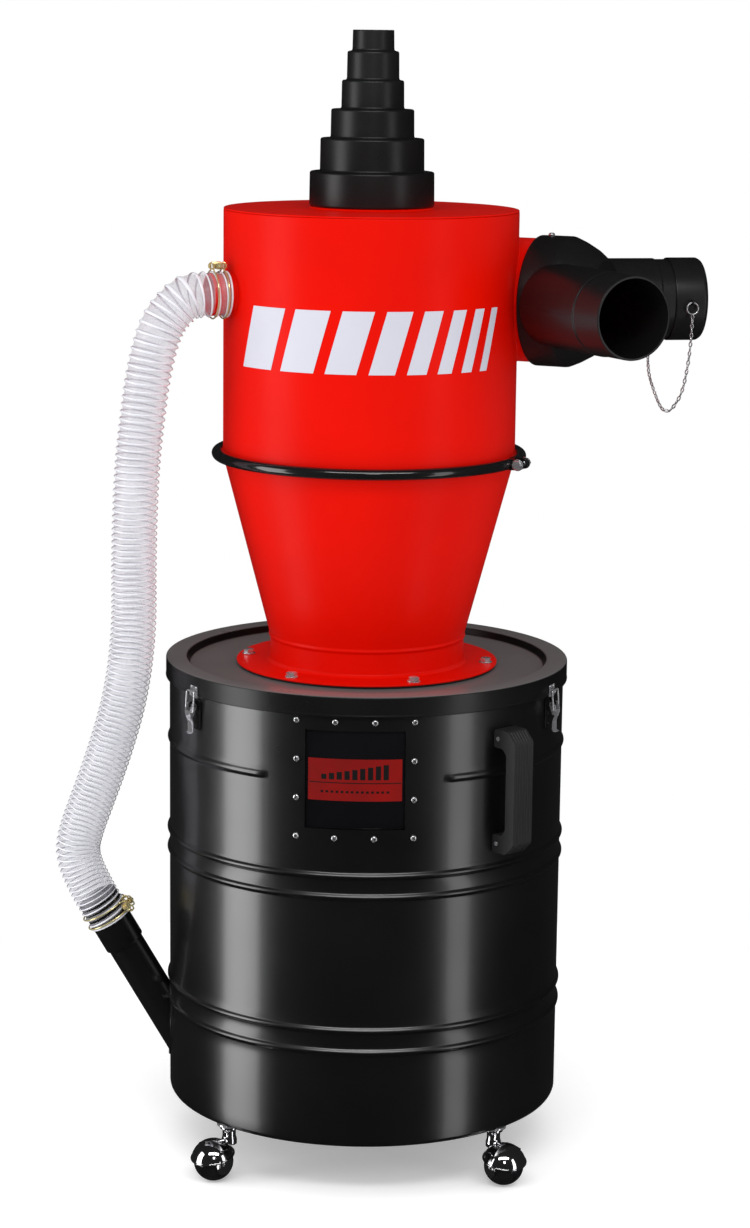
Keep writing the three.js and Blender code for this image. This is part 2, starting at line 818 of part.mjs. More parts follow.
// ---- cyclone -------------------------------------------------------------------------------
const inletAxis = planar(inletAzimuth);
const inletSide = planar(inletAzimuth + 90);
const inletPoint = (along) =>
  inletSide.clone().multiplyScalar(inletOffset).addScaledVector(inletAxis, along).setZ(inletHeight);
const alongInlet = (body) => aimed(body, inletAxis, inletPoint(0));
const outsideCyclone = () => rod(cycloneRadius + gap, bandMid, cycloneTop + overrun, cycloneSides);

function separatorCone() {
  const wall = shellSheet;
  const wide = cycloneRadius - coneInset;
  const body = turned(
    [
      [coneOutlet - wall, flangeBottom],
      [flangeRadius, flangeBottom],
      [flangeRadius, flangeTop],
      [coneOutlet, flangeTop],
      [coneOutlet, coneBottom - bead],
      [coneOutlet + bead, coneBottom],
      [coneOutlet, coneBottom + bead],
      [wide, bandLow - bead],
      [wide, bandLow],
      [bandFlange, bandLow],
      [bandFlange, bandLow + bandFlangeSheet],
      [wide - wall, bandLow + bandFlangeSheet],
      [coneOutlet - wall, coneBottom],
    ],
    cycloneSides,
  );
  return cut(body, ...boltHoles(flangeBottom - overrun, flangeTop + overrun));
}

function cycloneBody() {
  const inside = cycloneRadius - shellSheet;
  const wall = turned(
    [
      [inside, bandHigh],
      [bandFlange, bandHigh],
      [bandFlange, bandHigh + bandFlangeSheet],
      [cycloneRadius, bandHigh + bandFlangeSheet],
      [cycloneRadius, cycloneTop - coverSheet - gap],
      [inside, cycloneTop - coverSheet - gap],
    ],
    cycloneSides,
  );
  const inletHole = alongInlet(rod(ductRadius - ductWall, ductStart, ductEnd, pipeSides));
  const [from, to] = [cycloneRadius - overrun, cycloneRadius + overrun];
  const stubHole = radialRod(stubAzimuth, stubHeight, stubRadius - stubWall, from, to, 20);
  return cut(wall, inletHole, stubHole);
}

function cycloneCover() {
  const inner = outletRadius - shellSheet;
  const plate = pipe(cycloneRadius, inner, cycloneTop - coverSheet, cycloneTop, cycloneSides);
  const finder = [inner, cycloneTop - vortexDepth, cycloneTop + collarRise];
  const tube = pipe(outletRadius, finder[0], finder[1], finder[2], outletSides);
  return cut(join(plate, tube), rod(inner, finder[1] - 1, finder[2] + 1, outletSides));
}

function inletDuct() {
  const tube = alongInlet(pipe(ductRadius, ductRadius - ductWall, 0, ductEnd, pipeSides));
  return cut(tube, outsideCyclone());
}

function hoseStub() {
  const reach = cycloneRadius + stubLength;
  const straight = pipe(stubRadius, stubRadius - stubWall, cycloneRadius - overrun, reach, 20);
  const tube = aimed(straight, outwardAt(stubAzimuth), new THREE.Vector3(0, 0, stubHeight));
  return cut(tube, outsideCyclone());
}

const bandSeal = () =>
  pipe(bandFlange - 1, cycloneRadius - shellSheet, bandMid - bandGasket / 2, bandMid + bandGasket / 2,
    cycloneSides);

function bandClamp() {
  const slot = bandFlangeSheet + bandGasket / 2 + 2 * gap;
  const profile = [];
  for (let a = -135; a <= 135; a += 54) {
    const t = radians(a);
    profile.push([bandFlange + bandTube * Math.cos(t), bandMid + bandTube * Math.sin(t)]);
  }
  const lip = bandFlange + bandTube * Math.cos(radians(135));
  profile.push([lip, bandMid + slot]);
  profile.push([bandFlange + 2 * gap, bandMid + slot]);
  profile.push([bandFlange + 2 * gap, bandMid - slot]);
  profile.push([lip, bandMid - slot]);
  const place = frameAt(bandAzimuth, bandFlange + lugReach, bandMid);
  const across = new THREE.Vector3(0, 1, 0);
  const origin = new THREE.Vector3();
  const spread = [-lugReach - 2 * bandTube, lugReach];
  const split = block(spread, [-lugHalfGap, lugHalfGap], [-2 * bandTube, 2 * bandTube]);
  const lugs = [-1, 1].map((side) => {
    const low = Math.min(side * lugHalfGap, side * (lugHalfGap + lugSheet));
    const arm = block([lugRoot - lugReach, 0], [low, low + lugSheet], [-bandTube, bandTube]);
    const eye = aimed(rod(bandTube, low, low + lugSheet, 12), across, origin);
    const hole = aimed(rod(bandBolt + gap, low - overrun, low + overrun, 8), across, origin);
    return moved(cut(join(arm, eye), hole), place);
  });
  return join(cut(turned(profile, cycloneSides), moved(split, place)), ...lugs);
}

function bandScrew() {
  const across = new THREE.Vector3(0, 1, 0);
  const face = lugHalfGap + lugSheet + gap;
  const head = rod(bandBoltHead, -face - bandHeadHeight, -face, 6);
  const shank = rod(bandBolt, -face - 1, face + bandThreadReach, 8);
  const nut = rod(bandBoltHead, face, face + bandNutHeight, 6);
  const bolt = aimed(join(head, shank, nut), across, new THREE.Vector3());
  return moved(bolt, frameAt(bandAzimuth, bandFlange + lugReach, bandMid));
}

// the socket steps down from duct size to hose sizes, all one moulding
function outletAdapter() {
  const outer = [];
  const inner = [];
  let z = cycloneTop + adapterLift;
  adapterRadii.forEach((radius, i) => {
    const next = z + adapterRises[i];
    outer.push([radius, z], [radius, next]);
    const ceiling = i < adapterRadii.length - 1 ? next - adapterWall : next;
    const foot = i ? z - adapterWall : z;
    inner.unshift([radius - adapterWall, ceiling], [radius - adapterWall, foot]);
    z = next;
  });
  return turned([...outer, ...inner], outletSides);
}

function buildCyclone() {
  addPart('separator_cone', separatorCone(), finish.redPaint());
  addPart('cyclone_body', cycloneBody(), finish.redPaint());
  addPart('cyclone_cover', cycloneCover(), finish.redPaint());
  addPart('inlet_duct', inletDuct(), finish.redPaint());
  addPart('hose_stub', hoseStub(), finish.redPaint());
  addPart('band_seal', bandSeal(), finish.rubber());
  addPart('band_clamp', bandClamp(), finish.blackPaint());
  addPart('band_bolt', bandScrew(), finish.chrome());
  addPart('outlet_adapter', outletAdapter(), finish.plastic());
  anchor('head', new THREE.Vector3(0, 0, drumHeight), up);
  anchor('adapter', new THREE.Vector3(0, 0, cycloneTop), up);
}

// ---- inlet wye --------------------------------------------------------------------------
const frontAxis = planar(inletAzimuth + frontPortAngle);
const sideAxis = planar(inletAzimuth + sidePortAngle);
const branchRoot = (axis, body) => aimed(body, axis, inletPoint(wyeNode));

// half space beyond a station on the inlet axis, as a large block
function beyond(station) {
  const far = frontPortLength + sidePortLength;
  return alongInlet(block([-far, far], [-far, far], [station, station + far]));
}

function wyeShape(shrink) {
  const socket = shrink ? ductRadius + fitClearance : socketRadius;
  const neck = socketEnd + (shrink ? -wyeWall : 0);
  const tip = branchRadius + coneLip - shrink;
  const bell = turned(
    [
      [0, socketStart - (shrink ? 1 : 0)],
      [socket, socketStart - (shrink ? 1 : 0)],
      [socket, neck],
      [tip, neck + coneLength],
      [0, neck + coneLength],
    ],
    pipeSides,
  );
  const branches = [[frontAxis, frontPortLength], [sideAxis, sidePortLength]].map(([axis, length]) => {
    const end = length + (shrink ? 1 : 0);
    const profile = [
      [0, 0],
      [branchRadius - shrink, 0],
      [branchRadius - shrink, length - portNeck],
      [portRadius - shrink, length - portNeck + 1],
      [portRadius - shrink, end],
      [0, end],
    ];
    return branchRoot(axis, turned(profile, pipeSides));
  });
  return join(alongInlet(bell), join(...branches).intersect(beyond(socketEnd + (shrink ? wyeWall : 0))));
}

const [eyeletForward, eyeletUp] = eyeletLean;
const eyeletPlace = branchPoint(sideAxis, sidePortLength - eyeletSetback)
  .addScaledVector(sideFront(), eyeletForward * branchRadius)
  .addScaledVector(up, eyeletUp * branchRadius);

function sideFront() {
  return planar(inletAzimuth + sidePortAngle - 90);
}

function branchPoint(axis, along) {
  return inletPoint(wyeNode).addScaledVector(axis, along);
}

// a small tab with a hole, standing out of a round wall along its outward direction
function eyelet(place, outward) {
  const tab = cut(
    block([-0.9, 0.9], [-3, 3], [-3.5, 6.5]),
    aimed(rod(1.7, -4, 4, 8), new THREE.Vector3(1, 0, 0), new THREE.Vector3(0, 0, 3.2)),
  );
  const across = new THREE.Vector3().crossVectors(outward, sideAxis).normalize();
  const basis = new THREE.Matrix4().makeBasis(sideAxis, across, outward);
  return moved(tab, basis.setPosition(place));
}

function inletWye() {
  const outward = sideFront().multiplyScalar(eyeletForward).addScaledVector(up, eyeletUp).normalize();
  const moulding = cut(wyeShape(0), wyeShape(wyeWall));
  const drill = rod(wyeScrewShank + gap, 0, socketRadius + overrun, 8);
  const screwHole = aimed(drill, up, inletPoint(socketStart + wyeScrewAt));
  return join(cut(moulding, screwHole), cut(eyelet(eyeletPlace, outward), wyeShape(wyeWall)));
}

function wyeScrew() {
  const foot = inletPoint(socketStart + wyeScrewAt);
  const head = rod(wyeScrewHead, socketRadius + gap, socketRadius + wyeScrewHeight, 12);
  const shank = rod(wyeScrewShank, ductRadius + gap, socketRadius + 1, 8);
  return aimed(join(head, shank), up, foot);
}

const capAt = sidePortLength + gap;

const capEyelet = () => branchPoint(sideAxis, capAt - capDepth / 2)
  .addScaledVector(sideFront(), portRadius + fitClearance + capWall);

function blankCap() {
  const inner = portRadius + fitClearance;
  const outer = inner + capWall;
  const cup = turned(
    [
      [0, capAt],
      [inner, capAt],
      [inner, capAt - capDepth],
      [outer, capAt - capDepth],
      [outer, capAt + capCrown - capWall],
      [outer - capWall, capAt + capCrown],
      [0, capAt + capCrown],
    ],
    pipeSides,
  );
  const bore = branchRoot(sideAxis, rod(inner, 0, capAt, pipeSides));
  return join(branchRoot(sideAxis, cup), cut(eyelet(capEyelet(), sideFront()), bore));
}

const ringRadius = 7;
const ringWire = 0.9;
const ringCentre = () => capEyelet()
  .addScaledVector(sideFront(), 3.2)
  .addScaledVector(up, -ringRadius);

function capRing() {
  const ring = new THREE.TorusGeometry(ringRadius, ringWire, 5, 12);
  return aimed(solid(ring), sideFront(), ringCentre());
}

// the chain hangs in a long loop from the cap's ring to the eyelet under the wye
function tetherChain() {
  const start = ringCentre().addScaledVector(up, -ringRadius - ringWire - 2);
  const end = eyeletPlace.clone()
    .addScaledVector(sideFront(), 3.4)
    .addScaledVector(up, -9);
  const low = inletHeight - 132;
  const at = (share, z) => start.clone().lerp(end, share).setZ(z);
  const route = new THREE.CatmullRomCurve3([
    start,
    at(0.02, start.z - 30),
    at(0.08, start.z - 62),
    at(0.2, low + 22),
    at(0.4, low + 3),
    at(0.52, low),
    at(0.66, low + 5),
    at(0.84, low + 27),
    at(0.96, low + 50),
    end,
  ]);
  anchors.chain = { route: route.points.map((p) => p.clone()) };
  return sweep(route, 1.6, 6, 26);
}

function sweep(route, radius, sides, steps) {
  const section = ringOf(0, 0, radius, sides);
  const tube = new THREE.ExtrudeGeometry(section, { steps, extrudePath: route });
  return solid(tube);
}

function buildInlet() {
  addPart('inlet_wye', inletWye(), finish.plastic());
  addPart('wye_screw', wyeScrew(), finish.chrome());
  addPart('blank_cap', blankCap(), finish.plastic());
  addPart('cap_ring', capRing(), finish.chrome());
  addPart('tether_chain', tetherChain(), finish.chrome());
  anchor('cap', branchPoint(sideAxis, capAt), sideAxis);
}

// ---- hose ---------------------------------------------------------------------------------
// points of the hose's centre line between its two clamped ends, from the cyclone down
const hoseRoute = [
  [-213, -77, 992.5],
  [-228, -80, 982],
  [-243, -83, 963],
  [-253, -84, 938],
  [-262, -83, 900],
  [-268, -81, 860],
  [-275, -78, 800],
  [-279, -74, 735],
  [-281, -69, 668],
  [-282, -63, 600],
  [-287, -58, 545],
  [-296, -52, 495],
  [-309, -46, 448],
  [-323, -41, 405],
  [-337, -37, 366],
  [-348, -34, 335],
  [-354, -32, 308],
  [-350, -31, 284],
];

const stubPoint = (along) =>
  outwardAt(stubAzimuth).multiplyScalar(cycloneRadius + along).setZ(stubHeight);

const spoutPoint = (along) => spoutFoot.clone().addScaledVector(spoutDirection, along);

function hoseHalves() {
  const middle = hoseRoute.map((p) => new THREE.Vector3(...p));
  const route = new THREE.CatmullRomCurve3([
    stubPoint(stubLength + gap),
    stubPoint(stubLength + gap + 8),
    ...middle,
    spoutPoint(spoutLength + gap + 8),
    spoutPoint(spoutLength + gap),
  ]);
  const whole = sweep(route, hoseRadius, hoseSides, 32);
  const span = [-500, 500];
  const above = block(span, span, [hoseSplit + gap / 2, 2000]);
  const below = block(span, span, [-500, hoseSplit - gap / 2]);
  return [whole.intersect(above), whole.intersect(below)];
}

// a worm-drive band with its screw housing; drawn along +Z, housing towards +X
function hoseClamp() {
  const outer = clampRadius + clampBand;
  const band = pipe(outer, clampRadius, 0, clampWidth, 20);
  const housing = block([outer - 0.6, outer + 8], [-8, 8], [0.5, clampWidth - 0.5]);
  const screw = aimed(rod(4, -12, 12, 10), new THREE.Vector3(0, 1, 0),
    new THREE.Vector3(outer + 4, 0, clampWidth / 2));
  return join(band, housing, screw);
}

// lays a clamp around an axis with its housing turned to face a given way
function clampOn(axis, place, towards) {
  const side = towards.clone().addScaledVector(axis, -towards.dot(axis)).normalize();
  const other = new THREE.Vector3().crossVectors(axis, side);
  const basis = new THREE.Matrix4().makeBasis(side, other, axis);
  return moved(hoseClamp(), basis.setPosition(place));
}

function buildHose() {
  const [upper, lower] = hoseHalves();
  addPart('hose_upper', upper, finish.hose());
  addPart('hose_lower', lower, finish.hose());
  const topAxis = outwardAt(stubAzimuth);
  addPart('hose_clamp_top', clampOn(topAxis, stubPoint(stubClampAt), up), finish.zinc());
  const lowPlace = spoutPoint(spoutLength - spoutClampDrop);
  addPart('hose_clamp_low', clampOn(spoutDirection, lowPlace, new THREE.Vector3(1, -0.35, 0.2)),
    finish.zinc());
}

buildDrum();
buildLatches();
buildCasters();
buildLid();
buildCyclone();
buildInlet();
buildHose();

// ---- set on the floor, centred without the parts that hang loose ---------------------------
const loose = new Set(['hose_upper', 'hose_lower', 'hose_clamp_top', 'hose_clamp_low', 'tether_chain']);
const bounds = new THREE.Box3();
for (const mesh of assembly.children) {
  if (!loose.has(mesh.name)) bounds.expandByObject(mesh);
}
const centre = bounds.getCenter(new THREE.Vector3());
assembly.position.set(-centre.x, -centre.y, -bounds.min.z);
assembly.userData = { anchors, seat: assembly.position.clone() };

export default assembly;
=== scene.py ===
import math
import bpy
import bmesh
from mathutils import Matrix, Quaternion, Vector, noise


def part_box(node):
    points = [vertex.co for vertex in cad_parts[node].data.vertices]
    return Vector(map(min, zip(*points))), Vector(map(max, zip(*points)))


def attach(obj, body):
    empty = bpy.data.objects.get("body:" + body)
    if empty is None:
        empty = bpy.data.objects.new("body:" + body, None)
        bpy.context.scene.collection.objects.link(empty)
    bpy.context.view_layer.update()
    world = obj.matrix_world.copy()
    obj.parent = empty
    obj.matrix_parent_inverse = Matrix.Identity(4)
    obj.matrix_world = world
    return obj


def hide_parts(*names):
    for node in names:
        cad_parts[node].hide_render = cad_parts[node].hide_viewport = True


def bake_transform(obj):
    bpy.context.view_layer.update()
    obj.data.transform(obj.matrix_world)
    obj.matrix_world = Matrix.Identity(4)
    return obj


# Dust collector: cyclone, stepped outlet, two-way inlet and hose on a wheeled drum.
# Pieces are drawn in millimetres round the drum's axis, z = 0 at the drum's underside.
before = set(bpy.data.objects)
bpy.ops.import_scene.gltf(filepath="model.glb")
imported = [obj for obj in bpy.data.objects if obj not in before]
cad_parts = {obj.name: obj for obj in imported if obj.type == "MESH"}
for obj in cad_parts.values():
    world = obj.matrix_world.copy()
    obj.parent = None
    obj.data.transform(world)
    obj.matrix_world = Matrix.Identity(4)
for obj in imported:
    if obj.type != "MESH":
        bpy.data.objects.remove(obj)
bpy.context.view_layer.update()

shellLow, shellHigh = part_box("drum_shell")
seat = Vector(((shellLow.x + shellHigh.x) / 2, (shellLow.y + shellHigh.y) / 2, shellLow.z))
mm = 0.001
up = Vector((0, 0, 1))


def inFrame(point):  # drum millimetres to the frame's metres
    return seat + Vector(point) * mm


def drumHeightOf(node):  # lowest and highest z of a CAD node, in drum millimetres
    low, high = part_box(node)
    return (low.z - seat.z) / mm, (high.z - seat.z) / mm


camera = {
    "place": (0, -3689, 1312.5),
    "pitch": -10.95,  # degrees
    "yaw": 0.15,
    "roll": 0.67,
    "lens": 89.68,
}


def makeCamera():
    data = bpy.data.cameras.new("camera")
    data.lens = camera["lens"]
    data.sensor_width = 36
    data.sensor_fit = "AUTO"
    data.clip_end = 60
    eye = bpy.data.objects.new("camera", data)
    bpy.context.scene.collection.objects.link(eye)
    pitch = math.radians(camera["pitch"])
    yaw = math.radians(camera["yaw"])
    roll = math.radians(camera["roll"])
    ahead = Vector((math.sin(yaw) * math.cos(pitch), math.cos(yaw) * math.cos(pitch),
                    math.sin(pitch)))
    level = Vector((math.cos(yaw), -math.sin(yaw), 0))
    above = level.cross(ahead)
    right = level * math.cos(roll) + above * math.sin(roll)
    above = right.cross(ahead)
    turn = Matrix((right, above, -ahead)).transposed()
    eye.matrix_world = Matrix.Translation(inFrame(camera["place"])) @ turn.to_4x4()
    bpy.context.scene.camera = eye


makeCamera()
print("camera placed")


# A shape is a list of points and a list of faces, in drum millimetres.
def joined(*shapes):
    points, faces = [], []
    for shapePoints, shapeFaces in shapes:
        start = len(points)
        points += [Vector(p) for p in shapePoints]
        faces += [tuple(start + i for i in face) for face in shapeFaces]
    return points, faces


def moved(shape, matrix):
    return [matrix @ Vector(p) for p in shape[0]], list(shape[1])


def shifted(shape, x, y, z):
    return moved(shape, Matrix.Translation((x, y, z)))


def aimed(shape, direction, place=(0, 0, 0)):  # turns +Z to a direction
    turn = up.rotation_difference(Vector(direction).normalized())
    return moved(shape, Matrix.Translation(place) @ turn.to_matrix().to_4x4())


def outwardAt(azimuth):  # from the front (-Y) towards +X
    a = math.radians(azimuth)
    return Vector((math.sin(a), -math.cos(a), 0))


def planar(angle):
    a = math.radians(angle)
    return Vector((math.cos(a), math.sin(a), 0))


def wallFrame(azimuth, radius, height):  # +X outward, +Y along the wall
    turn = Matrix.Rotation(math.radians(azimuth - 90), 4, "Z")
    return Matrix.Translation(outwardAt(azimuth) * radius + up * height) @ turn


def softened(profile, radius, steps=4):  # rounds the corners of a [r, z] profile
    soft = [tuple(profile[0])]
    for before, corner, after in zip(profile, profile[1:], profile[2:]):
        a, b, c = Vector(before), Vector(corner), Vector(after)
        reach = min(radius, (a - b).length * 0.45, (c - b).length * 0.45)
        if reach < 0.02:
            soft.append(tuple(b))
            continue
        start = b + (a - b).normalized() * reach
        end = b + (c - b).normalized() * reach
        for i in range(steps + 1):
            t = i / steps
            soft.append(tuple(start * (1 - t) ** 2 + b * 2 * t * (1 - t) + end * t ** 2))
    soft.append(tuple(profile[-1]))
    return soft


def lathed(profile, sides=128):  # turned round Z; a closed loop if its ends are off the axis
    onAxis = profile[0][0] < 1e-6 and profile[-1][0] < 1e-6
    points, faces, rows = [], [], []
    for radius, z in profile:
        if radius < 1e-6:
            rows.append([len(points)] * sides)
            points.append(Vector((0, 0, z)))
            continue
        rows.append(list(range(len(points), len(points) + sides)))
        for i in range(sides):
            a = 2 * math.pi * i / sides
            points.append(Vector((radius * math.cos(a), radius * math.sin(a), z)))
    pairs = list(zip(rows, rows[1:])) + ([] if onAxis else [(rows[-1], rows[0])])
    for low, high in pairs:
        for i in range(sides):
            j = (i + 1) % sides
            face = []
            for index in (low[i], low[j], high[j], high[i]):
                if index not in face:
                    face.append(index)
            if len(face) > 2:
                faces.append(tuple(face))
    return points, faces


def turned(profile, soft, sides=128, steps=4):  # lathed with softened corners
    profile = softened(profile, soft, steps)
    return lathed(profile[:-1] if profile[0] == profile[-1] else profile, sides)


def rod(radius, low, high, sides=32, soft=0.0):
    return turned([(0, low), (radius, low), (radius, high), (0, high)], soft, sides)


def pipe(outer, inner, low, high, sides=96, soft=0.4):
    corner = (outer + inner) / 2
    profile = [(corner, low), (outer, low), (outer, high), (inner, high), (inner, low),
               (corner, low)]
    return turned(profile, soft, sides)


def hexagon(acrossCorners, low, high, soft=0.6):  # bolt head or nut with turned-off corners
    half = acrossCorners / 2
    profile = [(0, low), (half - soft, low), (half, low + soft * 0.6), (half, high - soft * 0.6),
               (half - soft, high), (0, high)]
    return lathed(profile, 6)


def prism(outline, low, high):  # [x, z] outline made solid from y = low to y = high
    count = len(outline)
    points = [Vector((x, low, z)) for x, z in outline] + [Vector((x, high, z)) for x, z in outline]
    faces = [tuple(range(count)), tuple(range(2 * count - 1, count - 1, -1))]
    faces += [(i, i + count, (i + 1) % count + count, (i + 1) % count) for i in range(count)]
    return points, faces


def roundedPrism(outline, radius, steps, low, high):  # prism with rounded corners
    loop = roundedLoop([(x, z, 0) for x, z in outline], radius, steps, closed=True)
    return prism([(p.x, p.y) for p in loop], low, high)


def brick(x, y, z):
    outline = [(x[0], z[0]), (x[1], z[0]), (x[1], z[1]), (x[0], z[1])]
    return prism(outline, y[0], y[1])


def pathFrames(path, closed=False):  # a side and a rise direction at each point, without twist
    count = len(path)
    tangents = []
    for i in range(count):
        before = path[i - 1] if (i or closed) else path[0]
        after = path[(i + 1) % count] if (i < count - 1 or closed) else path[-1]
        tangents.append((after - before).normalized())
    side = tangents[0].orthogonal().normalized()
    frames = []
    for i, tangent in enumerate(tangents):
        if i:
            side = tangents[i - 1].rotation_difference(tangent) @ side
        side = (side - tangent * side.dot(tangent)).normalized()
        frames.append((side, tangent.cross(side)))
    return frames


def wired(path, radius, sides=10, closed=False):  # round wire along points; radius may vary
    path = [Vector(p) for p in path]
    size = radius if callable(radius) else (lambda i: radius)
    points, faces = [], []
    for i, (place, (side, rise)) in enumerate(zip(path, pathFrames(path, closed))):
        for k in range(sides):
            a = 2 * math.pi * k / sides
            points.append(place + (side * math.cos(a) + rise * math.sin(a)) * size(i))
    count = len(path)
    for i in range(count if closed else count - 1):
        j = (i + 1) % count
        for k in range(sides):
            n = (k + 1) % sides
            faces.append((i * sides + k, i * sides + n, j * sides + n, j * sides + k))
    if not closed:
        faces.append(tuple(range(sides - 1, -1, -1)))
        faces.append(tuple(range((count - 1) * sides, count * sides)))
    return points, faces


def smoothPath(corners, spacing=2.0):  # Catmull-Rom line through given points, evenly stepped
    corners = [Vector(c) for c in corners]
    line = []
    for i in range(len(corners) - 1):
        a = corners[max(i - 1, 0)]
        b, c = corners[i], corners[i + 1]
        d = corners[min(i + 2, len(corners) - 1)]
        steps = max(2, int((c - b).length / spacing * 2))
        for k in range(steps):
            t = k / steps
            line.append(0.5 * (2 * b + (c - a) * t + (2 * a - 5 * b + 4 * c - d) * t * t
                               + (3 * b - a - 3 * c + d) * t ** 3))
    line.append(corners[-1])
    return evenly(line, spacing)


def evenly(line, spacing):
    runs = [0.0]
    for a, b in zip(line, line[1:]):
        runs.append(runs[-1] + (b - a).length)
    count = max(2, round(runs[-1] / spacing))
    even, k = [], 0
    for i in range(count + 1):
        want = runs[-1] * i / count
        while k < len(runs) - 2 and runs[k + 1] < want:
            k += 1
        share = (want - runs[k]) / max(runs[k + 1] - runs[k], 1e-9)
        even.append(line[k].lerp(line[k + 1], min(max(share, 0), 1)))
    return even


def roundedLoop(corners, radius, steps=6, closed=False):  # points with arcs at the corners
    corners = [Vector(c) for c in corners]
    count = len(corners)
    loop = [] if closed else [corners[0]]
    for i in range(0 if closed else 1, count if closed else count - 1):
        a, b, c = corners[i - 1], corners[i], corners[(i + 1) % count]
        reach = min(radius, (a - b).length * 0.49, (c - b).length * 0.49)
        start = b + (a - b).normalized() * reach
        end = b + (c - b).normalized() * reach
        for k in range(steps + 1):
            t = k / steps
            loop.append(start * (1 - t) ** 2 + b * 2 * t * (1 - t) + end * t ** 2)
    return loop if closed else loop + [corners[-1]]


def makePiece(name, parts, body, stands=(), bevel=0.0, sharp=38, merge=1e-3):
    # parts is a list of (shape, look); stands are the CAD nodes that the piece replaces
    mesh = bpy.data.meshes.new(name)
    points, faces, slots, used = [], [], [], []
    for shape, look in parts:
        if look not in used:
            used.append(look)
        start = len(points)
        points += [inFrame(p) for p in shape[0]]
        faces += [tuple(start + i for i in face) for face in shape[1]]
        slots += [used.index(look)] * len(shape[1])
    mesh.from_pydata(points, [], faces)
    for look in used:
        mesh.materials.append(finish[look])
    mesh.polygons.foreach_set("material_index", slots)
    work = bmesh.new()
    work.from_mesh(mesh)
    if merge:
        bmesh.ops.remove_doubles(work, verts=work.verts, dist=merge * mm)
    bmesh.ops.recalc_face_normals(work, faces=work.faces)
    work.to_mesh(mesh)
    work.free()
    mesh.polygons.foreach_set("use_smooth", [True] * len(mesh.polygons))
    mesh.set_sharp_from_angle(angle=math.radians(sharp))
    piece = bpy.data.objects.new(name, mesh)
    bpy.context.scene.collection.objects.link(piece)
    if bevel:
        edge = piece.modifiers.new("soft edges", "BEVEL")
        edge.width = bevel * mm
        edge.segments = 2
        edge.limit_method = "ANGLE"
        edge.angle_limit = math.radians(35)
        edge.harden_normals = True
    if body:
        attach(piece, body)
    if stands:
        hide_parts(*stands)
    return piece


def cutOrJoin(base, others, operation):  # boolean of pieces, kept as a plain mesh
    for other in others:
        step = base.modifiers.new("step", "BOOLEAN")
        step.operation = operation
        step.solver = "EXACT"
        step.object = other
    bpy.context.view_layer.update()
    view = bpy.context.evaluated_depsgraph_get()
    mesh = bpy.data.meshes.new_from_object(base.evaluated_get(view))
    base.modifiers.clear()
    base.data = mesh
    for other in others:
        bpy.data.objects.remove(other)
    return base


def shaderOf(name):
    material = bpy.data.materials.new(name)
    material.use_nodes = True
    tree = material.node_tree
    shader = tree.nodes["Principled BSDF"]
    place = tree.nodes.new("ShaderNodeTexCoord").outputs["Object"]
    return material, tree, shader, place


def noiseOf(tree, place, scale, detail=3.0, rough=0.55, stretch=None):
    if stretch:
        mapping = tree.nodes.new("ShaderNodeMapping")
        mapping.inputs["Scale"].default_value = stretch
        tree.links.new(place, mapping.inputs["Vector"])
        place = mapping.outputs["Vector"]
    grain = tree.nodes.new("ShaderNodeTexNoise")
    grain.inputs["Scale"].default_value = scale
    grain.inputs["Detail"].default_value = detail
    grain.inputs["Roughness"].default_value = rough
    tree.links.new(place, grain.inputs["Vector"])
    return grain.outputs["Fac"]


def rangeOf(tree, value, low, high, fromLow=0.3, fromHigh=0.7):
    node = tree.nodes.new("ShaderNodeMapRange")
    node.inputs["From Min"].default_value = fromLow
    node.inputs["From Max"].default_value = fromHigh
    node.inputs["To Min"].default_value = low
    node.inputs["To Max"].default_value = high
    tree.links.new(value, node.inputs["Value"])
    return node.outputs["Result"]


def mixOf(tree, share, first, second):
    mix = tree.nodes.new("ShaderNodeMix")
    mix.data_type = "RGBA"
    tree.links.new(share, mix.inputs["Factor"])
    for socket, colour in (("A", first), ("B", second)):
        inlet = [i for i in mix.inputs if i.name == socket and i.type == "RGBA"][0]
        if isinstance(colour, tuple):
            inlet.default_value = (*colour, 1)
        else:
            tree.links.new(colour, inlet)
    return [o for o in mix.outputs if o.type == "RGBA"][0]


def bumpOf(tree, height, strength, distance, under=None):
    bump = tree.nodes.new("ShaderNodeBump")
    bump.inputs["Strength"].default_value = strength
    bump.inputs["Distance"].default_value = distance
    tree.links.new(height, bump.inputs["Height"])
    if under:
        tree.links.new(under, bump.inputs["Normal"])
    return bump.outputs["Normal"]


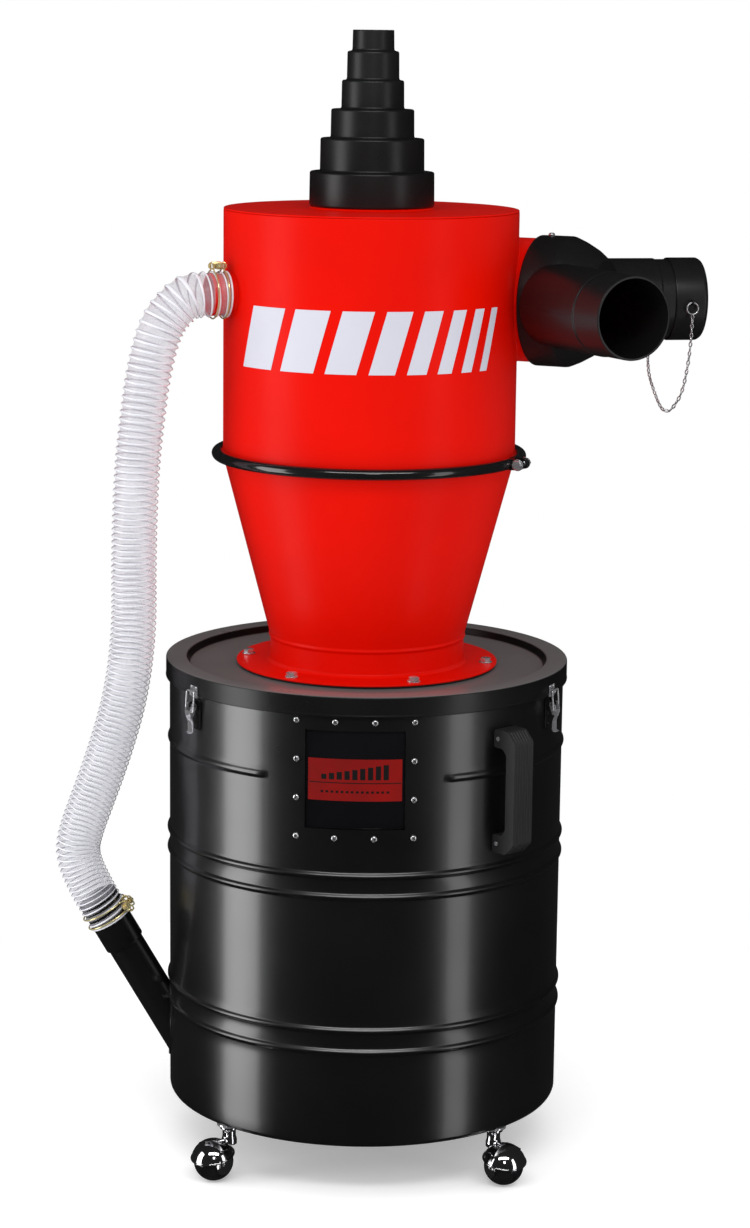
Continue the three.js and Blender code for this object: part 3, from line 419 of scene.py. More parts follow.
def coating(name, look):  # paint, moulded plastic, rubber or plating, from one set of values
    material, tree, shader, place = shaderOf(name)
    broad = noiseOf(tree, place, look.get("patchScale", 6), 4)
    fine = noiseOf(tree, place, look.get("grainScale", 420), 2)
    tone = rangeOf(tree, broad, 0, 1, 0.32, 0.68)
    colour = mixOf(tree, tone, look["colour"], look.get("colourTwo", look["colour"]))
    if "specks" in look:  # dust and tiny chips
        spots = noiseOf(tree, place, 900, 1)
        colour = mixOf(tree, rangeOf(tree, spots, 0, look.get("speckAmount", 0.5), 0.68, 0.74),
                       colour, look["specks"])
    if "paintedTopSheen" in look:  # painted sheen: lighter colour on what faces up, standing in for light mirrored from above
        facing = tree.nodes.new("ShaderNodeSeparateXYZ")
        tree.links.new(tree.nodes["Texture Coordinate"].outputs["Normal"],
                       facing.inputs["Vector"])
        colour = mixOf(tree, rangeOf(tree, facing.outputs["Z"], 0, 1, 0.6, 0.97), colour,
                       look["paintedTopSheen"])
    tree.links.new(colour, shader.inputs["Base Color"])
    low, high = look["roughness"]
    tree.links.new(rangeOf(tree, broad, low, high), shader.inputs["Roughness"])
    shader.inputs["Metallic"].default_value = look.get("metal", 0)
    shader.inputs["Specular IOR Level"].default_value = look.get("specular", 0.5)
    shader.inputs["Coat Weight"].default_value = look.get("coat", 0)
    shader.inputs["Coat Roughness"].default_value = look.get("coatRoughness", 0.05)
    normal = bumpOf(tree, fine, look.get("grain", 0.1), 0.0004)
    if "waves" in look:  # slow dents and sheet ripple
        swell = noiseOf(tree, place, look.get("waveScale", 9), 1, 0.5, look.get("waveStretch"))
        normal = bumpOf(tree, swell, look["waves"], 0.004, normal)
    if "scratches" in look:
        hair = noiseOf(tree, place, 60, 2, 0.6, (1, 1, 30))
        normal = bumpOf(tree, hair, look["scratches"], 0.0003, normal)
    tree.links.new(normal, shader.inputs["Normal"])
    return material


looks = {
    "drumPaint": {"colour": (0.0022, 0.0022, 0.0024), "colourTwo": (0.0035, 0.0035, 0.0038),
                  "roughness": (0.27, 0.33), "grain": 0.05, "grainScale": 700, "waves": 0.14,
                  "waveScale": 5, "waveStretch": (1, 1, 0.35), "specks": (0.05, 0.05, 0.05),
                  "speckAmount": 0.12, "specular": 0.9, "coat": 0.6, "coatRoughness": 0.16},
    # the lid's lighter top colour is painted sheen on its upward faces
    "lidPaint": {"colour": (0.004, 0.004, 0.0043), "colourTwo": (0.006, 0.006, 0.0064),
                 "paintedTopSheen": (0.13, 0.13, 0.131), "roughness": (0.26, 0.33), "grain": 0.1,
                 "grainScale": 800, "waves": 0.05, "specks": (0.05, 0.05, 0.05),
                 "speckAmount": 0.12, "specular": 0.4},
    "redPaint": {"colour": (0.68, 0.004, 0.0001), "colourTwo": (0.62, 0.003, 0.0001),
                 "roughness": (0.3, 0.38), "grain": 0.05, "grainScale": 520, "waves": 0.06,
                 "waveScale": 6, "waveStretch": (1, 1, 0.4), "specular": 0.06, "coat": 0.0},
    "decalWhite": {"colour": (0.56, 0.56, 0.63), "colourTwo": (0.52, 0.52, 0.59),
                   "roughness": (0.4, 0.5), "grain": 0.04, "specular": 0.2},
    "mouldedBlack": {"colour": (0.0055, 0.0056, 0.006), "colourTwo": (0.009, 0.0092, 0.0098),
                     "roughness": (0.3, 0.4), "grain": 0.16, "grainScale": 900, "waves": 0.05,
                     "waveScale": 14, "specks": (0.07, 0.07, 0.07), "speckAmount": 0.2,
                     "specular": 0.35},
    "handleBlack": {"colour": (0.014, 0.0143, 0.0155), "colourTwo": (0.02, 0.0203, 0.0215),
                    "roughness": (0.34, 0.42), "grain": 0.2, "grainScale": 1100},
    "chromePlate": {"colour": (0.8, 0.8, 0.82), "colourTwo": (0.68, 0.68, 0.71), "metal": 0.84,
                    "roughness": (0.06, 0.12), "grain": 0.03, "patchScale": 60},
    "hoodChrome": {"colour": (0.88, 0.88, 0.9), "colourTwo": (0.8, 0.8, 0.83), "metal": 1,
                   "roughness": (0.05, 0.1), "grain": 0.02, "patchScale": 50},
    "brightSteel": {"colour": (0.74, 0.74, 0.76), "colourTwo": (0.56, 0.56, 0.59), "metal": 0.82,
                    "roughness": (0.14, 0.24), "grain": 0.08, "patchScale": 90,
                    "scratches": 0.15},
    "yellowZinc": {"colour": (0.8, 0.6, 0.24), "colourTwo": (0.68, 0.66, 0.38), "metal": 0.62,
                   "roughness": (0.12, 0.22), "grain": 0.06, "patchScale": 120},
    "ballGloss": {"colour": (0.004, 0.004, 0.0045), "colourTwo": (0.007, 0.007, 0.0075),
                  "roughness": (0.08, 0.15), "grain": 0.03, "patchScale": 40, "coat": 0.5},
    "sealFoam": {"colour": (0.012, 0.012, 0.012), "colourTwo": (0.02, 0.02, 0.02),
                 "roughness": (0.75, 0.9), "grain": 0.6, "grainScale": 1400},
    "bandGloss": {"colour": (0.005, 0.005, 0.0055), "colourTwo": (0.008, 0.008, 0.0085),
                  "roughness": (0.12, 0.18), "grain": 0.04, "coat": 0.5},
    "paneSmoke": {"colour": (0.003, 0.003, 0.0035), "colourTwo": (0.005, 0.005, 0.006),
                  "roughness": (0.05, 0.1), "grain": 0.02, "waves": 0.05, "waveScale": 12},
    "labelRed": {"colour": (0.2, 0.003, 0.002), "colourTwo": (0.15, 0.002, 0.0015),
                 "roughness": (0.34, 0.44), "grain": 0.05, "patchScale": 22, "specular": 0.15},
    # ink for the label's print; it also paints the shade of the screw slots
    "inkAndSlotShade": {"colour": (0.004, 0.003, 0.003), "colourTwo": (0.007, 0.005, 0.005),
                 "roughness": (0.4, 0.5), "grain": 0.05},
    "hoseRib": {"colour": (0.78, 0.78, 0.83), "colourTwo": (0.7, 0.7, 0.76),
                "roughness": (0.2, 0.3), "grain": 0.04, "coat": 0.2},
}
finish = {name: coating(name, look) for name, look in looks.items()}


def hoseFilmFinish():  # thin clear wall of the hose, milky with fine stretch marks
    material, tree, shader, place = shaderOf("hoseFilm")
    cloud = noiseOf(tree, place, 30, 4)
    marks = noiseOf(tree, place, 260, 3, 0.6, (1, 1, 0.3))
    colour = mixOf(tree, rangeOf(tree, cloud, 0, 1), (0.5, 0.5, 0.56), (0.7, 0.7, 0.76))
    tree.links.new(colour, shader.inputs["Base Color"])
    tree.links.new(rangeOf(tree, marks, 0.12, 0.3), shader.inputs["Roughness"])
    tree.links.new(rangeOf(tree, cloud, 0.16, 0.3), shader.inputs["Alpha"])
    tree.links.new(bumpOf(tree, marks, 0.35, 0.0006), shader.inputs["Normal"])
    shader.inputs["IOR"].default_value = 1.5
    return material


finish["hoseFilm"] = hoseFilmFinish()
print("materials made")

cyclone = {"radius": 177.3, "stubAzimuth": -70, "stubRadius": 24.5, "stubReach": 26}
stubHeight = sum(drumHeightOf("hose_stub")) / 2
spout = {"azimuth": -85, "foot": 87, "slope": 60, "radius": 22.75, "sleeve": 25.2,
         "sleeveStart": 112, "length": 182, "drumRadius": 242}

stubDirection = outwardAt(cyclone["stubAzimuth"])
spoutDirection = (outwardAt(spout["azimuth"]) * math.cos(math.radians(spout["slope"]))
                  + up * math.sin(math.radians(spout["slope"])))
spoutFoot = outwardAt(spout["azimuth"]) * spout["drumRadius"] + up * spout["foot"]


def stubPoint(along):
    return stubDirection * (cyclone["radius"] + along) + up * stubHeight


def spoutPoint(along):
    return spoutFoot + spoutDirection * along


wireClamp = {"radius": 28.7, "wire": 0.95, "low": 0, "high": 13, "gap": 6.4, "rise": 8.6,
             "coil": 3.6}


def wireClampShape():  # two wire turns and a screw, drawn along +Z with the screw towards +X
    ring, wire, gap = wireClamp["radius"], wireClamp["wire"], wireClamp["gap"]
    low, high, top = wireClamp["low"], wireClamp["high"], ring + wireClamp["rise"]
    start, steps = math.asin(gap / ring), 44
    turn = [start + (2 * math.pi - 2 * start) * k / steps for k in range(steps + 1)]
    route = [(top, gap, high)] + [(ring * math.cos(a), ring * math.sin(a), high) for a in turn]
    route += [(top, -gap, high), (top, -gap, low)]
    route += [(ring * math.cos(a), ring * math.sin(a), low) for a in reversed(turn)]
    route += [(top, gap, low)]
    strand = wired(roundedLoop(route, 2.6, 3, closed=True), wire, 8, closed=True)
    hub = Vector((ring + wireClamp["rise"] * 0.58, 0, (low + high) / 2))
    screw = lathed([(0, -13), (1.7, -12.6), (2.1, -12), (2.1, 8.4), (0, 8.4)], 24)
    nut = brick((-3.7, 3.7), (-3.7, 3.7), (-gap - 3.9, -gap - 1.1))
    head = hexagon(7.4, gap + 1.2, gap + 4.4)
    washer = lathed([(2.3, gap + 0.3), (4.3, gap + 0.3), (4.3, gap + 1.1), (2.3, gap + 1.1)], 24)
    saddle = brick((-2.4, 2.4), (-3.9, 3.9), (-gap - 1.0, -gap + 0.2))
    coil, coils = wireClamp["coil"], []
    for z in (low - 0.4, high + 0.4):  # the strand's ends are coiled round the screw's seats
        loop = [(hub.x + coil * math.cos(a * math.pi / 12), 1.9 * math.sin(a * math.pi / 24),
                 z + coil * math.sin(a * math.pi / 12)) for a in range(48)]
        coils.append(wired(loop, wire * 0.9, 8, closed=True))
    metal = joined(strand, *coils, aimed(joined(screw, nut, head, washer, saddle), (0, 1, 0), hub))
    # painted shade: a dark bar across the screw head stands in for its shaded slot
    slotShade = brick((-3.2, 3.2), (-0.45, 0.45), (gap + 4.2, gap + 4.6))
    threads = [pipe(2.35, 2.0, -12 + 1.1 * k, -11.5 + 1.1 * k, 20, 0.15) for k in range(17)]
    metal = joined(metal, *[aimed(t, (0, 1, 0), hub) for t in threads])
    return metal, aimed(slotShade, (0, 1, 0), hub)


def makeClamp(name, node, axis, place, towards, body):
    side = (towards - axis * towards.dot(axis)).normalized()
    basis = Matrix((side, axis.cross(side), axis)).transposed().to_4x4()
    metal, dark = wireClampShape()
    where = Matrix.Translation(place) @ basis
    # the dark part is painted shade for the screw's slot
    return makePiece(name, [(moved(metal, where), "yellowZinc"),
                            (moved(dark, where), "inkAndSlotShade")],
                     body, [node], sharp=35)


clampTop = makeClamp("hoseClampTop", "hose_clamp_top", stubDirection, stubPoint(9), up, "head")
clampLow = makeClamp("hoseClampLow", "hose_clamp_low", spoutDirection, spoutPoint(151),
                     Vector((1, -0.35, 0.2)), "drum")


hose = {
    "radius": 27.5,
    "filmRadius": 25.0,
    "inner": 24.9 - 0.6,
    "overStub": 21,  # how far the ends are pushed over the stub and the pipe
    "overPipe": 34,
    "pitches": [  # (share of the way down, rib spacing), packed most in the low bend
        (0.0, 9.6), (0.05, 10.2), (0.22, 9.0), (0.45, 7.4), (0.8, 6.8), (0.9, 6.0),
        (0.955, 6.2), (1.0, 10.5)],
    "crest": {4: 1.0, 3: 0.66, 5: 0.66, 2: 0.3, 6: 0.3, 1: 0.08, 7: 0.08},  # rise of each row
    "sides": 40,
    "rowsPerPitch": 9,
    "route": [  # drum millimetres, from the upper end down, as the CAD hose runs
        (-213, -77, 992.5), (-228, -80, 982), (-243, -83, 963), (-253, -84, 938),
        (-262, -83, 900), (-268, -81, 860), (-275, -78, 800), (-279, -74, 735),
        (-281, -69, 668), (-282, -63, 600), (-287, -58, 545), (-296, -52, 495),
        (-309, -46, 448), (-323, -41, 405), (-337, -37, 366), (-348, -34, 335),
        (-354, -32, 308), (-350, -31, 284)],
}


def hosePitch(share):  # share of the way down the hose
    keys = hose["pitches"]
    for (start, wide), (end, narrow) in zip(keys, keys[1:]):
        if share <= end:
            return wide + (narrow - wide) * (share - start) / (end - start)
    return keys[-1][1]


def makeHose():
    ends = [stubPoint(cyclone["stubReach"] - hose["overStub"]), stubPoint(cyclone["stubReach"] + 2)]
    tail = [spoutPoint(spout["length"] + 6), spoutPoint(spout["length"] - hose["overPipe"])]
    line = smoothPath(ends + hose["route"] + tail, 2.5)
    frames = pathFrames(line)
    runs = [0.0]
    for a, b in zip(line, line[1:]):
        runs.append(runs[-1] + (b - a).length)
    total = runs[-1]

    turns = [0.0]  # axial place of each rib turn
    while turns[-1] < total:
        turns.append(turns[-1] + hosePitch(min(turns[-1] / total, 1)))
    sides, rows = hose["sides"], hose["rowsPerPitch"]
    crest = hose["crest"]

    def axialAt(turn):
        turn = min(max(turn, 0), len(turns) - 1.001)
        k = int(turn)
        return turns[k] + (turns[k + 1] - turns[k]) * (turn - k)

    def ringPoint(axial, angle, radius):
        axial = min(max(axial, 0), total)
        spot = min(int(axial / total * (len(runs) - 1)), len(runs) - 2)
        share = (axial - runs[spot]) / (runs[spot + 1] - runs[spot])
        place = line[spot].lerp(line[spot + 1], share)
        side = frames[spot][0].lerp(frames[spot + 1][0], share).normalized()
        rise = frames[spot][1].lerp(frames[spot + 1][1], share).normalized()
        return place + (side * math.cos(angle) + rise * math.sin(angle)) * radius

    count = (len(turns) + 1) * rows
    points, ribFaces, filmFaces = [], [], []
    low = -rows
    for k in range(low, count):
        for j in range(sides):
            turn = k / rows + j / sides
            share = crest.get(k % rows, 0)
            radius = hose["filmRadius"] + share * (hose["radius"] - hose["filmRadius"])
            axial = axialAt(turn) if turn > 0 else 0
            points.append(ringPoint(axial, 2 * math.pi * j / sides, radius))

    def index(k, j):
        return (k + rows - low) * sides if j == sides else (k - low) * sides + j

    for k in range(low, count - rows - 1):
        for j in range(sides):
            face = (index(k, j), index(k + 1, j), index(k + 1, j + 1), index(k, j + 1))
            rib = crest.get(k % rows, 0) > 0.5 and crest.get((k + 1) % rows, 0) > 0.5
            (ribFaces if rib else filmFaces).append(face)
    inner, innerFaces = [], []  # the plain inner wall
    steps = int(total / 5)
    for i in range(steps + 1):
        for j in range(sides):
            inner.append(ringPoint(total * i / steps, 2 * math.pi * j / sides, hose["inner"]))
    for i in range(steps):
        for j in range(sides):
            n = (j + 1) % sides
            innerFaces.append((i * sides + j, (i + 1) * sides + j, (i + 1) * sides + n,
                               i * sides + n))
    cuffs = []  # white rings close both ends
    for at in (0.0, total):
        ring = [ringPoint(at, 2 * math.pi * j / 48, hose["radius"] - 1.0) for j in range(48)]
        cuffs.append(wired(ring, 1.25, 8, closed=True))

    piece = makePiece("hose", [((points, ribFaces), "hoseRib"),
                               ((points, filmFaces), "hoseFilm"),
                               ((inner, innerFaces), "hoseFilm"),
                               *[(cuff, "hoseRib") for cuff in cuffs]],
                      None, ["hose_upper", "hose_lower"], sharp=180, merge=0.02)
    loose = bmesh.new()
    loose.from_mesh(piece.data)
    bmesh.ops.dissolve_degenerate(loose, dist=0.00002, edges=loose.edges)
    bmesh.ops.delete(loose, geom=[v for v in loose.verts if not v.link_faces], context="VERTS")
    loose.to_mesh(piece.data)
    loose.free()
    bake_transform(piece)
    return total


hoseLength = makeHose()
print("hose made, mm:", round(hoseLength))

inlet = {"azimuth": -24, "offset": 101.5, "duct": 74.8, "ductEnd": 214, "socketStart": 178.6,
         "socketLength": 40.4, "socket": 78.8, "node": 158, "port": 48.5, "branch": 49.7,
         "neck": 55, "frontAngle": -39.5, "sideAngle": 34.5, "frontLength": 257,
         "sideLength": 216, "cone": 44, "wall": 2.6,
         "shoulder": [(0.93, 0.3), (0.82, 0.66)]}  # shares of the socket's radius and the cone
inletHeight = sum(drumHeightOf("inlet_duct")) / 2
inletAxis = planar(inlet["azimuth"])
inletSide = planar(inlet["azimuth"] + 90)
frontAxis = planar(inlet["azimuth"] + inlet["frontAngle"])
sideAxis = planar(inlet["azimuth"] + inlet["sideAngle"])
sideFront = planar(inlet["azimuth"] + inlet["sideAngle"] - 90)


def inletPoint(along):
    return inletSide * inlet["offset"] + inletAxis * along + up * inletHeight


def branchPoint(axis, along):
    return inletPoint(inlet["node"]) + axis * along


chain = {"wire": 0.85, "linkLength": 7.4, "linkWidth": 4.9, "ring": 7.0, "ringWire": 1.0,
         "slant": 35, "wander": 8, "linkSides": 14}  # slant and wander of the links in degrees
capAt = inlet["sideLength"] + 0.3
capEyelet = branchPoint(sideAxis, capAt - 19) + sideFront * (inlet["port"] + 0.4 + 1.5)
ringCentre = capEyelet + sideFront * 3.2 - up * chain["ring"]
eyeletOut = (sideFront * 0.72 - up * 0.7).normalized()
eyeletPlace = (branchPoint(sideAxis, 146) + sideFront * (0.72 * inlet["branch"])
               - up * (0.7 * inlet["branch"]))


def chainRoute():
    start = ringCentre - up * (chain["ring"] + chain["ringWire"] + 2)
    end = eyeletPlace + sideFront * 3.4 - up * 9
    low = inletHeight - 132

    def at(share, z):
        point = start.lerp(end, share)
        point.z = z
        return point

    return [start, at(0.02, start.z - 30), at(0.08, start.z - 62), at(0.2, low + 22),
            at(0.4, low + 3), at(0.52, low), at(0.66, low + 5), at(0.84, low + 27),
            at(0.96, low + 50), end]


def makeChain():
    line = smoothPath(chainRoute(), 1.0)
    length = sum((b - a).length for a, b in zip(line, line[1:]))
    pitch = chain["linkLength"] - 2.1 * chain["wire"]
    count = int(length / pitch)
    half = chain["linkWidth"] / 2 - chain["wire"]
    reach = chain["linkLength"] / 2 - chain["wire"]
    shapes = []
    for i in range(count + 1):
        at = (len(line) - 1) * i / count
        k = min(int(at), len(line) - 2)
        place = line[k].lerp(line[k + 1], at - k)
        along = (line[k + 1] - line[k]).normalized()
        side = along.cross(sideFront).normalized()
        twist = 90 * (i % 2) + chain["slant"] + chain["wander"] * math.sin(i * 1.7)
        side = Quaternion(along, math.radians(twist)) @ side
        loop = []
        for n in range(chain["linkSides"]):
            a = 2 * math.pi * n / chain["linkSides"]
            bow = half * math.sin(a)
            loop.append(place + along * (reach - half + half) * math.cos(a) + side * bow)
        shapes.append(wired(loop, chain["wire"], 6, closed=True))
    piece = makePiece("tetherChain", [(joined(*shapes), "brightSteel")], None,
                      ["tether_chain"], sharp=180, merge=0)
    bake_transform(piece)
    return length


chainLength = makeChain()
print("chain made, mm:", round(chainLength))

drum = {
    "radius": 242, "height": 540, "wall": 1.5,
    "hoops": [117.4, 143.9, 307.3, 332.6], "hoopProud": 3.0, "hoopHalf": 5.2,
    "rib": 447.5, "ribProud": 2.5, "ribHalf": 6, "ribBreak": (-27.9, 22.1), "ribFade": 3,
    "window": (-16.9, 11.1, 389, 506.5),  # azimuths and heights of the opening
    "chime": 5, "chimeDepth": 2.2,  # height and depth of the turned-in bottom edge
    "seamAzimuth": 176, "seamProud": 0.5, "seamRipple": 0.15, "seamHalf": 0.7,
    "floor": 239.2, "floorSheet": 1.5,
}


def hump(t):
    return (1 - t * t) ** 2 if abs(t) < 1 else 0.0


def fade(x, low, high):
    t = min(max((x - low) / (high - low), 0), 1)
    return t * t * (3 - 2 * t)


def drumRadiusAt(azimuth, z):
    radius = drum["radius"]
    for hoop in drum["hoops"]:
        radius += drum["hoopProud"] * hump((z - hoop) / drum["hoopHalf"])
    start, end = drum["ribBreak"]
    away = (fade(azimuth, end, end + drum["ribFade"]) + 1
            - fade(azimuth, start - drum["ribFade"], start))
    radius += drum["ribProud"] * hump((z - drum["rib"]) / drum["ribHalf"]) * min(away, 1)
    radius -= drum["chimeDepth"] * (1 - min(z / drum["chime"], 1)) ** 2
    fromSeam = azimuth - drum["seamAzimuth"]
    if abs(fromSeam) < 1.5:
        ripple = drum["seamRipple"] * noise.noise(Vector((azimuth * 9, 0, z * 0.6)))
        radius += (drum["seamProud"] + ripple) * hump(fromSeam / drum["seamHalf"])
    return radius


def drumSkin():
    heights = set(range(0, 541, 20)) | {drum["window"][2], drum["window"][3], drum["height"]}
    heights |= {0.6, 1.2, 2, 3, 4, 5}
    for hoop in drum["hoops"]:
        heights |= {round(hoop + drum["hoopHalf"] * k / 8, 3) for k in range(-8, 9)}
    heights |= {round(drum["rib"] + drum["ribHalf"] * k / 7, 3) for k in range(-7, 8)}
    heights = sorted(heights)
    azimuths = set(range(-180, 180, 2)) | {drum["window"][0], drum["window"][1]}
    azimuths |= {drum["seamAzimuth"] + k * 0.2 for k in range(-5, 6)}
    for edge in drum["ribBreak"]:
        azimuths |= {edge + k * 0.75 for k in range(-4, 5)}
    azimuths = sorted(azimuths)
    across, tall = len(azimuths), len(heights)
    points = []
    for inset in (0, drum["wall"]):
        for z in heights:
            for azimuth in azimuths:
                points.append(outwardAt(azimuth) * (drumRadiusAt(azimuth, z) - inset) + up * z)
    outer = []
    west, east, low, high = drum["window"]
    for k in range(tall - 1):
        for i in range(across):
            middle = (heights[k] + heights[k + 1]) / 2
            if west <= azimuths[i] < east and low < middle < high:
                continue
            j = (i + 1) % across
            row, above = k * across, (k + 1) * across
            outer.append((row + i, row + j, above + j, above + i))
    layer = across * tall
    faces = outer + [tuple(reversed([p + layer for p in face])) for face in outer]
    edges = {(a, b): True for face in outer for a, b in zip(face, face[1:] + face[:1])}
    faces += [(b, a, a + layer, b + layer) for a, b in edges if (b, a) not in edges]
    return points, faces


def swept(profile, start, end, steps=24):  # a closed [r, z] outline carried between two azimuths
    count = len(profile)
    points = []
    for k in range(steps + 1):
        outward = outwardAt(start + (end - start) * k / steps)
        points += [outward * r + up * z for r, z in profile]
    faces = [tuple(range(count)), tuple(range((steps + 1) * count - 1, steps * count - 1, -1))]
    for k in range(steps):
        for i in range(count):
            j = (i + 1) % count
            row, after = k * count, (k + 1) * count
            faces.append((row + i, row + j, after + j, after + i))
    return points, faces


def band(inner, outer, low, high):  # profile of a flat curved plate
    return [(inner, low), (outer, low), (outer, high), (inner, high)]


def drumFloor():
    rim, inside = drum["floor"], drum["floor"] - drum["floorSheet"]
    profile = [(0, 0.2), (60, 0.2), (66, 3.2), (160, 3.2), (166, 0.2), (rim - 4, 0), (rim, 4),
               (rim, 20), (inside, 20), (inside, 5), (rim - 5, 1.6), (165, 1.8), (159, 4.8),
               (67, 4.8), (61, 1.8), (0, 1.8)]
    return turned(profile, 2, 144, 3)


def fittedPipe(outer, inner, foot, direction, length, wallRadius, ends=None, sides=72):
    # a pipe whose near end is fitted to a round upright wall; ends lists [along, outer radius]
    side = direction.cross(up).normalized()
    rise = side.cross(direction)
    ends = ends or [(length, outer)]
    rows = []

    def meet(offset):  # where a line along the pipe leaves the wall
        base = foot + offset
        a = direction.x ** 2 + direction.y ** 2
        b = 2 * (base.x * direction.x + base.y * direction.y)
        c = base.x ** 2 + base.y ** 2 - wallRadius ** 2
        return (-b + math.sqrt(max(b * b - 4 * a * c, 0))) / (2 * a)

    def ring(radius, along=None, shift=0.0):
        row = []
        for k in range(sides):
            a = 2 * math.pi * k / sides
            offset = (side * math.cos(a) + rise * math.sin(a)) * radius
            reach = meet(offset) + shift if along is None else along
            row.append(foot + offset + direction * reach)
        return row

    rows.append(ring(outer))
    for along, radius in ends:
        rows.append(ring(radius, along))
    rows.append(ring(inner, ends[-1][0]))
    rows.append(ring(inner))
    points = [p for row in rows for p in row]
    faces = []
    for k in range(len(rows)):
        nextRow = (k + 1) % len(rows)
        for i in range(sides):
            j = (i + 1) % sides
            faces.append((k * sides + i, k * sides + j, nextRow * sides + j,
                          nextRow * sides + i))
    bead = ring(outer + 0.6, shift=0.6)
    return (points, faces), bead


def weldBead(line, size, seed):  # a weld laid in overlapping puddles
    smooth = evenly(line + [line[0]], 1.2)[:-1]
    return wired(smooth, lambda i: size * (1 + 0.14 * math.sin(i * 2.1)
                 + 0.12 * noise.noise(Vector((i * 0.31, seed, 0)))), 8, closed=True)


def buildDrum():
    makePiece("drumShell", [(drumSkin(), "drumPaint")], "drum", ["drum_shell"],
              sharp=50)
    makePiece("drumFloor", [(drumFloor(), "drumPaint")], "drum", ["drum_floor"])
    r, sleeve, start = spout["radius"], spout["sleeve"], spout["sleeveStart"]
    reach = spout["length"]
    ends = [(start - 3, r), (start - 1.2, r), (start, r + 0.5), (start + 0.8, sleeve - 0.4),
            (start + 2, sleeve), (reach - 1, sleeve), (reach, sleeve - 0.8)]
    body, toe = fittedPipe(r, r - 2, spoutFoot, spoutDirection, reach, drum["radius"] - 0.6, ends)
    makePiece("spoutPipe", [(body, "drumPaint"), (weldBead(toe, 2.1, 3), "drumPaint")],
              "drum", ["spout_pipe"])


window = {
    "azimuth": -2.9, "half": 14, "bottom": 389, "top": 506.5, "margin": 20,
    "paneRadius": 239.2, "label": (-16.1, 10.3, 423, 473), "divider": 444.5,
    "screwHead": 3.6, "screwsPerSide": 4, "screwInset": 2.5, "screwRow": 10.6,
    "lap": 5,  # degrees that the pane goes beyond its opening
    "labelSheet": 0.5, "ink": 0.12, "inkLine": 0.5,
    "bars": 9, "barLow": 4, "barTall": (6, 18), "barHalf": 0.72, "barMargin": 4.5,
    "ticks": 14, "tickLow": -12, "tickTall": 2.6, "tickHalf": 0.35, "tickMargin": 4,
}


def screwSpots():
    spots, per = [], window["screwsPerSide"]
    half = window["half"] + window["screwInset"]
    low, high = window["bottom"] - window["screwRow"], window["top"] + window["screwRow"]
    for i in range(per):
        for j in range(per):
            if i in (0, per - 1) or j in (0, per - 1):
                spots.append((window["azimuth"] - half + 2 * half * i / (per - 1),
                              low + (high - low) * j / (per - 1)))
    return spots


def panHead(radius, height, recess=0.62):  # domed head with its cross recess drawn as dark painted shade, base at z = 0
    dome = [(0, 0), (radius, 0), (radius, height * 0.25), (radius * 0.93, height * 0.62),
            (radius * 0.7, height * 0.9), (radius * 0.4, height), (0, height)]
    shapes = [turned(dome, 0.4, 24, 2)]
    for turn in (0, 90):  # painted shade: dark slots sit just proud of the dome in place of the shaded recess
        slot = brick((-radius * recess, radius * recess), (-radius * 0.12, radius * 0.12),
                     (height * 0.9, height * 1.015))
        shapes.append(moved(slot, Matrix.Rotation(math.radians(turn + 20), 4, "Z")))
    return shapes


def buildWindow():
    radius, azimuth, half = window["paneRadius"], window["azimuth"], window["half"]
    low, high = window["bottom"], window["top"]
    margin, wide = window["margin"], window["half"] + window["lap"]
    sheet = softened(band(radius - 2, radius, low - margin, high + margin), 0.3, 2)
    makePiece("windowPane", [(swept(sheet, azimuth - wide, azimuth + wide, 40), "paneSmoke")],
              "drum", ["window_pane"])
    back = radius - 2.3
    bars = []
    for edge in (-1, 1):
        a, b = sorted((azimuth + edge * half, azimuth + edge * wide))
        bars.append(swept(band(back - 1.6, back, low - margin, high + margin), a, b, 8))
    for a, b in ((low - margin, low), (high, high + margin)):
        bars.append(swept(band(back - 1.6, back, a, b), azimuth - half, azimuth + half, 30))
    heads, slots = [], []
    for n, (spot, height) in enumerate(screwSpots()):
        place = outwardAt(spot) * (drum["radius"] + 0.2) + up * height
        turn = Matrix.Rotation(n * 1.3, 4, "Z")
        dome, *cross = [aimed(moved(shape, turn), outwardAt(spot), place)
                        for shape in panHead(window["screwHead"], 2.3)]
        heads.append(dome)
        slots += cross
        shank = rod(1.5, back - drum["radius"], 0.4, 12)
        heads.append(aimed(shank, outwardAt(spot), outwardAt(spot) * drum["radius"] + up * height))
    makePiece("windowFrame", [(joined(*bars), "drumPaint")], "drum", ["window_retainer"])
    # the dark slots on the screw heads are painted shade for their cross recesses
    makePiece("windowScrews", [(joined(*heads), "chromePlate"),
                               (joined(*slots), "inkAndSlotShade")],
              "drum", ["window_retainer"])
    buildLabel()


def buildLabel():  # red film with plain level marks, no lettering
    west, east, low, high = window["label"]
    face, middle, line = window["paneRadius"] + 0.3, window["divider"], window["inkLine"]
    front = face + window["labelSheet"]
    film = swept(band(face, front, low, high), west, east, 36)

    def mark(bottom, top, start, end, steps):
        return swept(band(front, front + window["ink"], bottom, top), start, end, steps)

    def spread(i, count, margin):
        return west + margin + (east - west - 2 * margin) * i / (count - 1)

    ink = [mark(middle - line, middle + line, west + 0.3, east - 0.3, 36)]
    shortest, tallest = window["barTall"]
    for i in range(window["bars"]):  # rising bars over the divider
        at, foot = spread(i, window["bars"], window["barMargin"]), middle + window["barLow"]
        tall = shortest + (tallest - shortest) * i / (window["bars"] - 1)
        ink.append(mark(foot, foot + tall, at - window["barHalf"], at + window["barHalf"], 3))
    for i in range(window["ticks"]):  # small ticks under it
        at, foot = spread(i, window["ticks"], window["tickMargin"]), middle + window["tickLow"]
        ink.append(mark(foot, foot + window["tickTall"], at - window["tickHalf"],
                        at + window["tickHalf"], 2))
    makePiece("levelLabel", [(film, "labelRed"), (joined(*ink), "inkAndSlotShade")],
              "drum", ["level_label"])


handle = {"right": 42, "left": -138, "bottom": 351, "top": 500, "reach": 35, "width": 31,
          "grip": 14, "foot": 22, "ribs": 6}


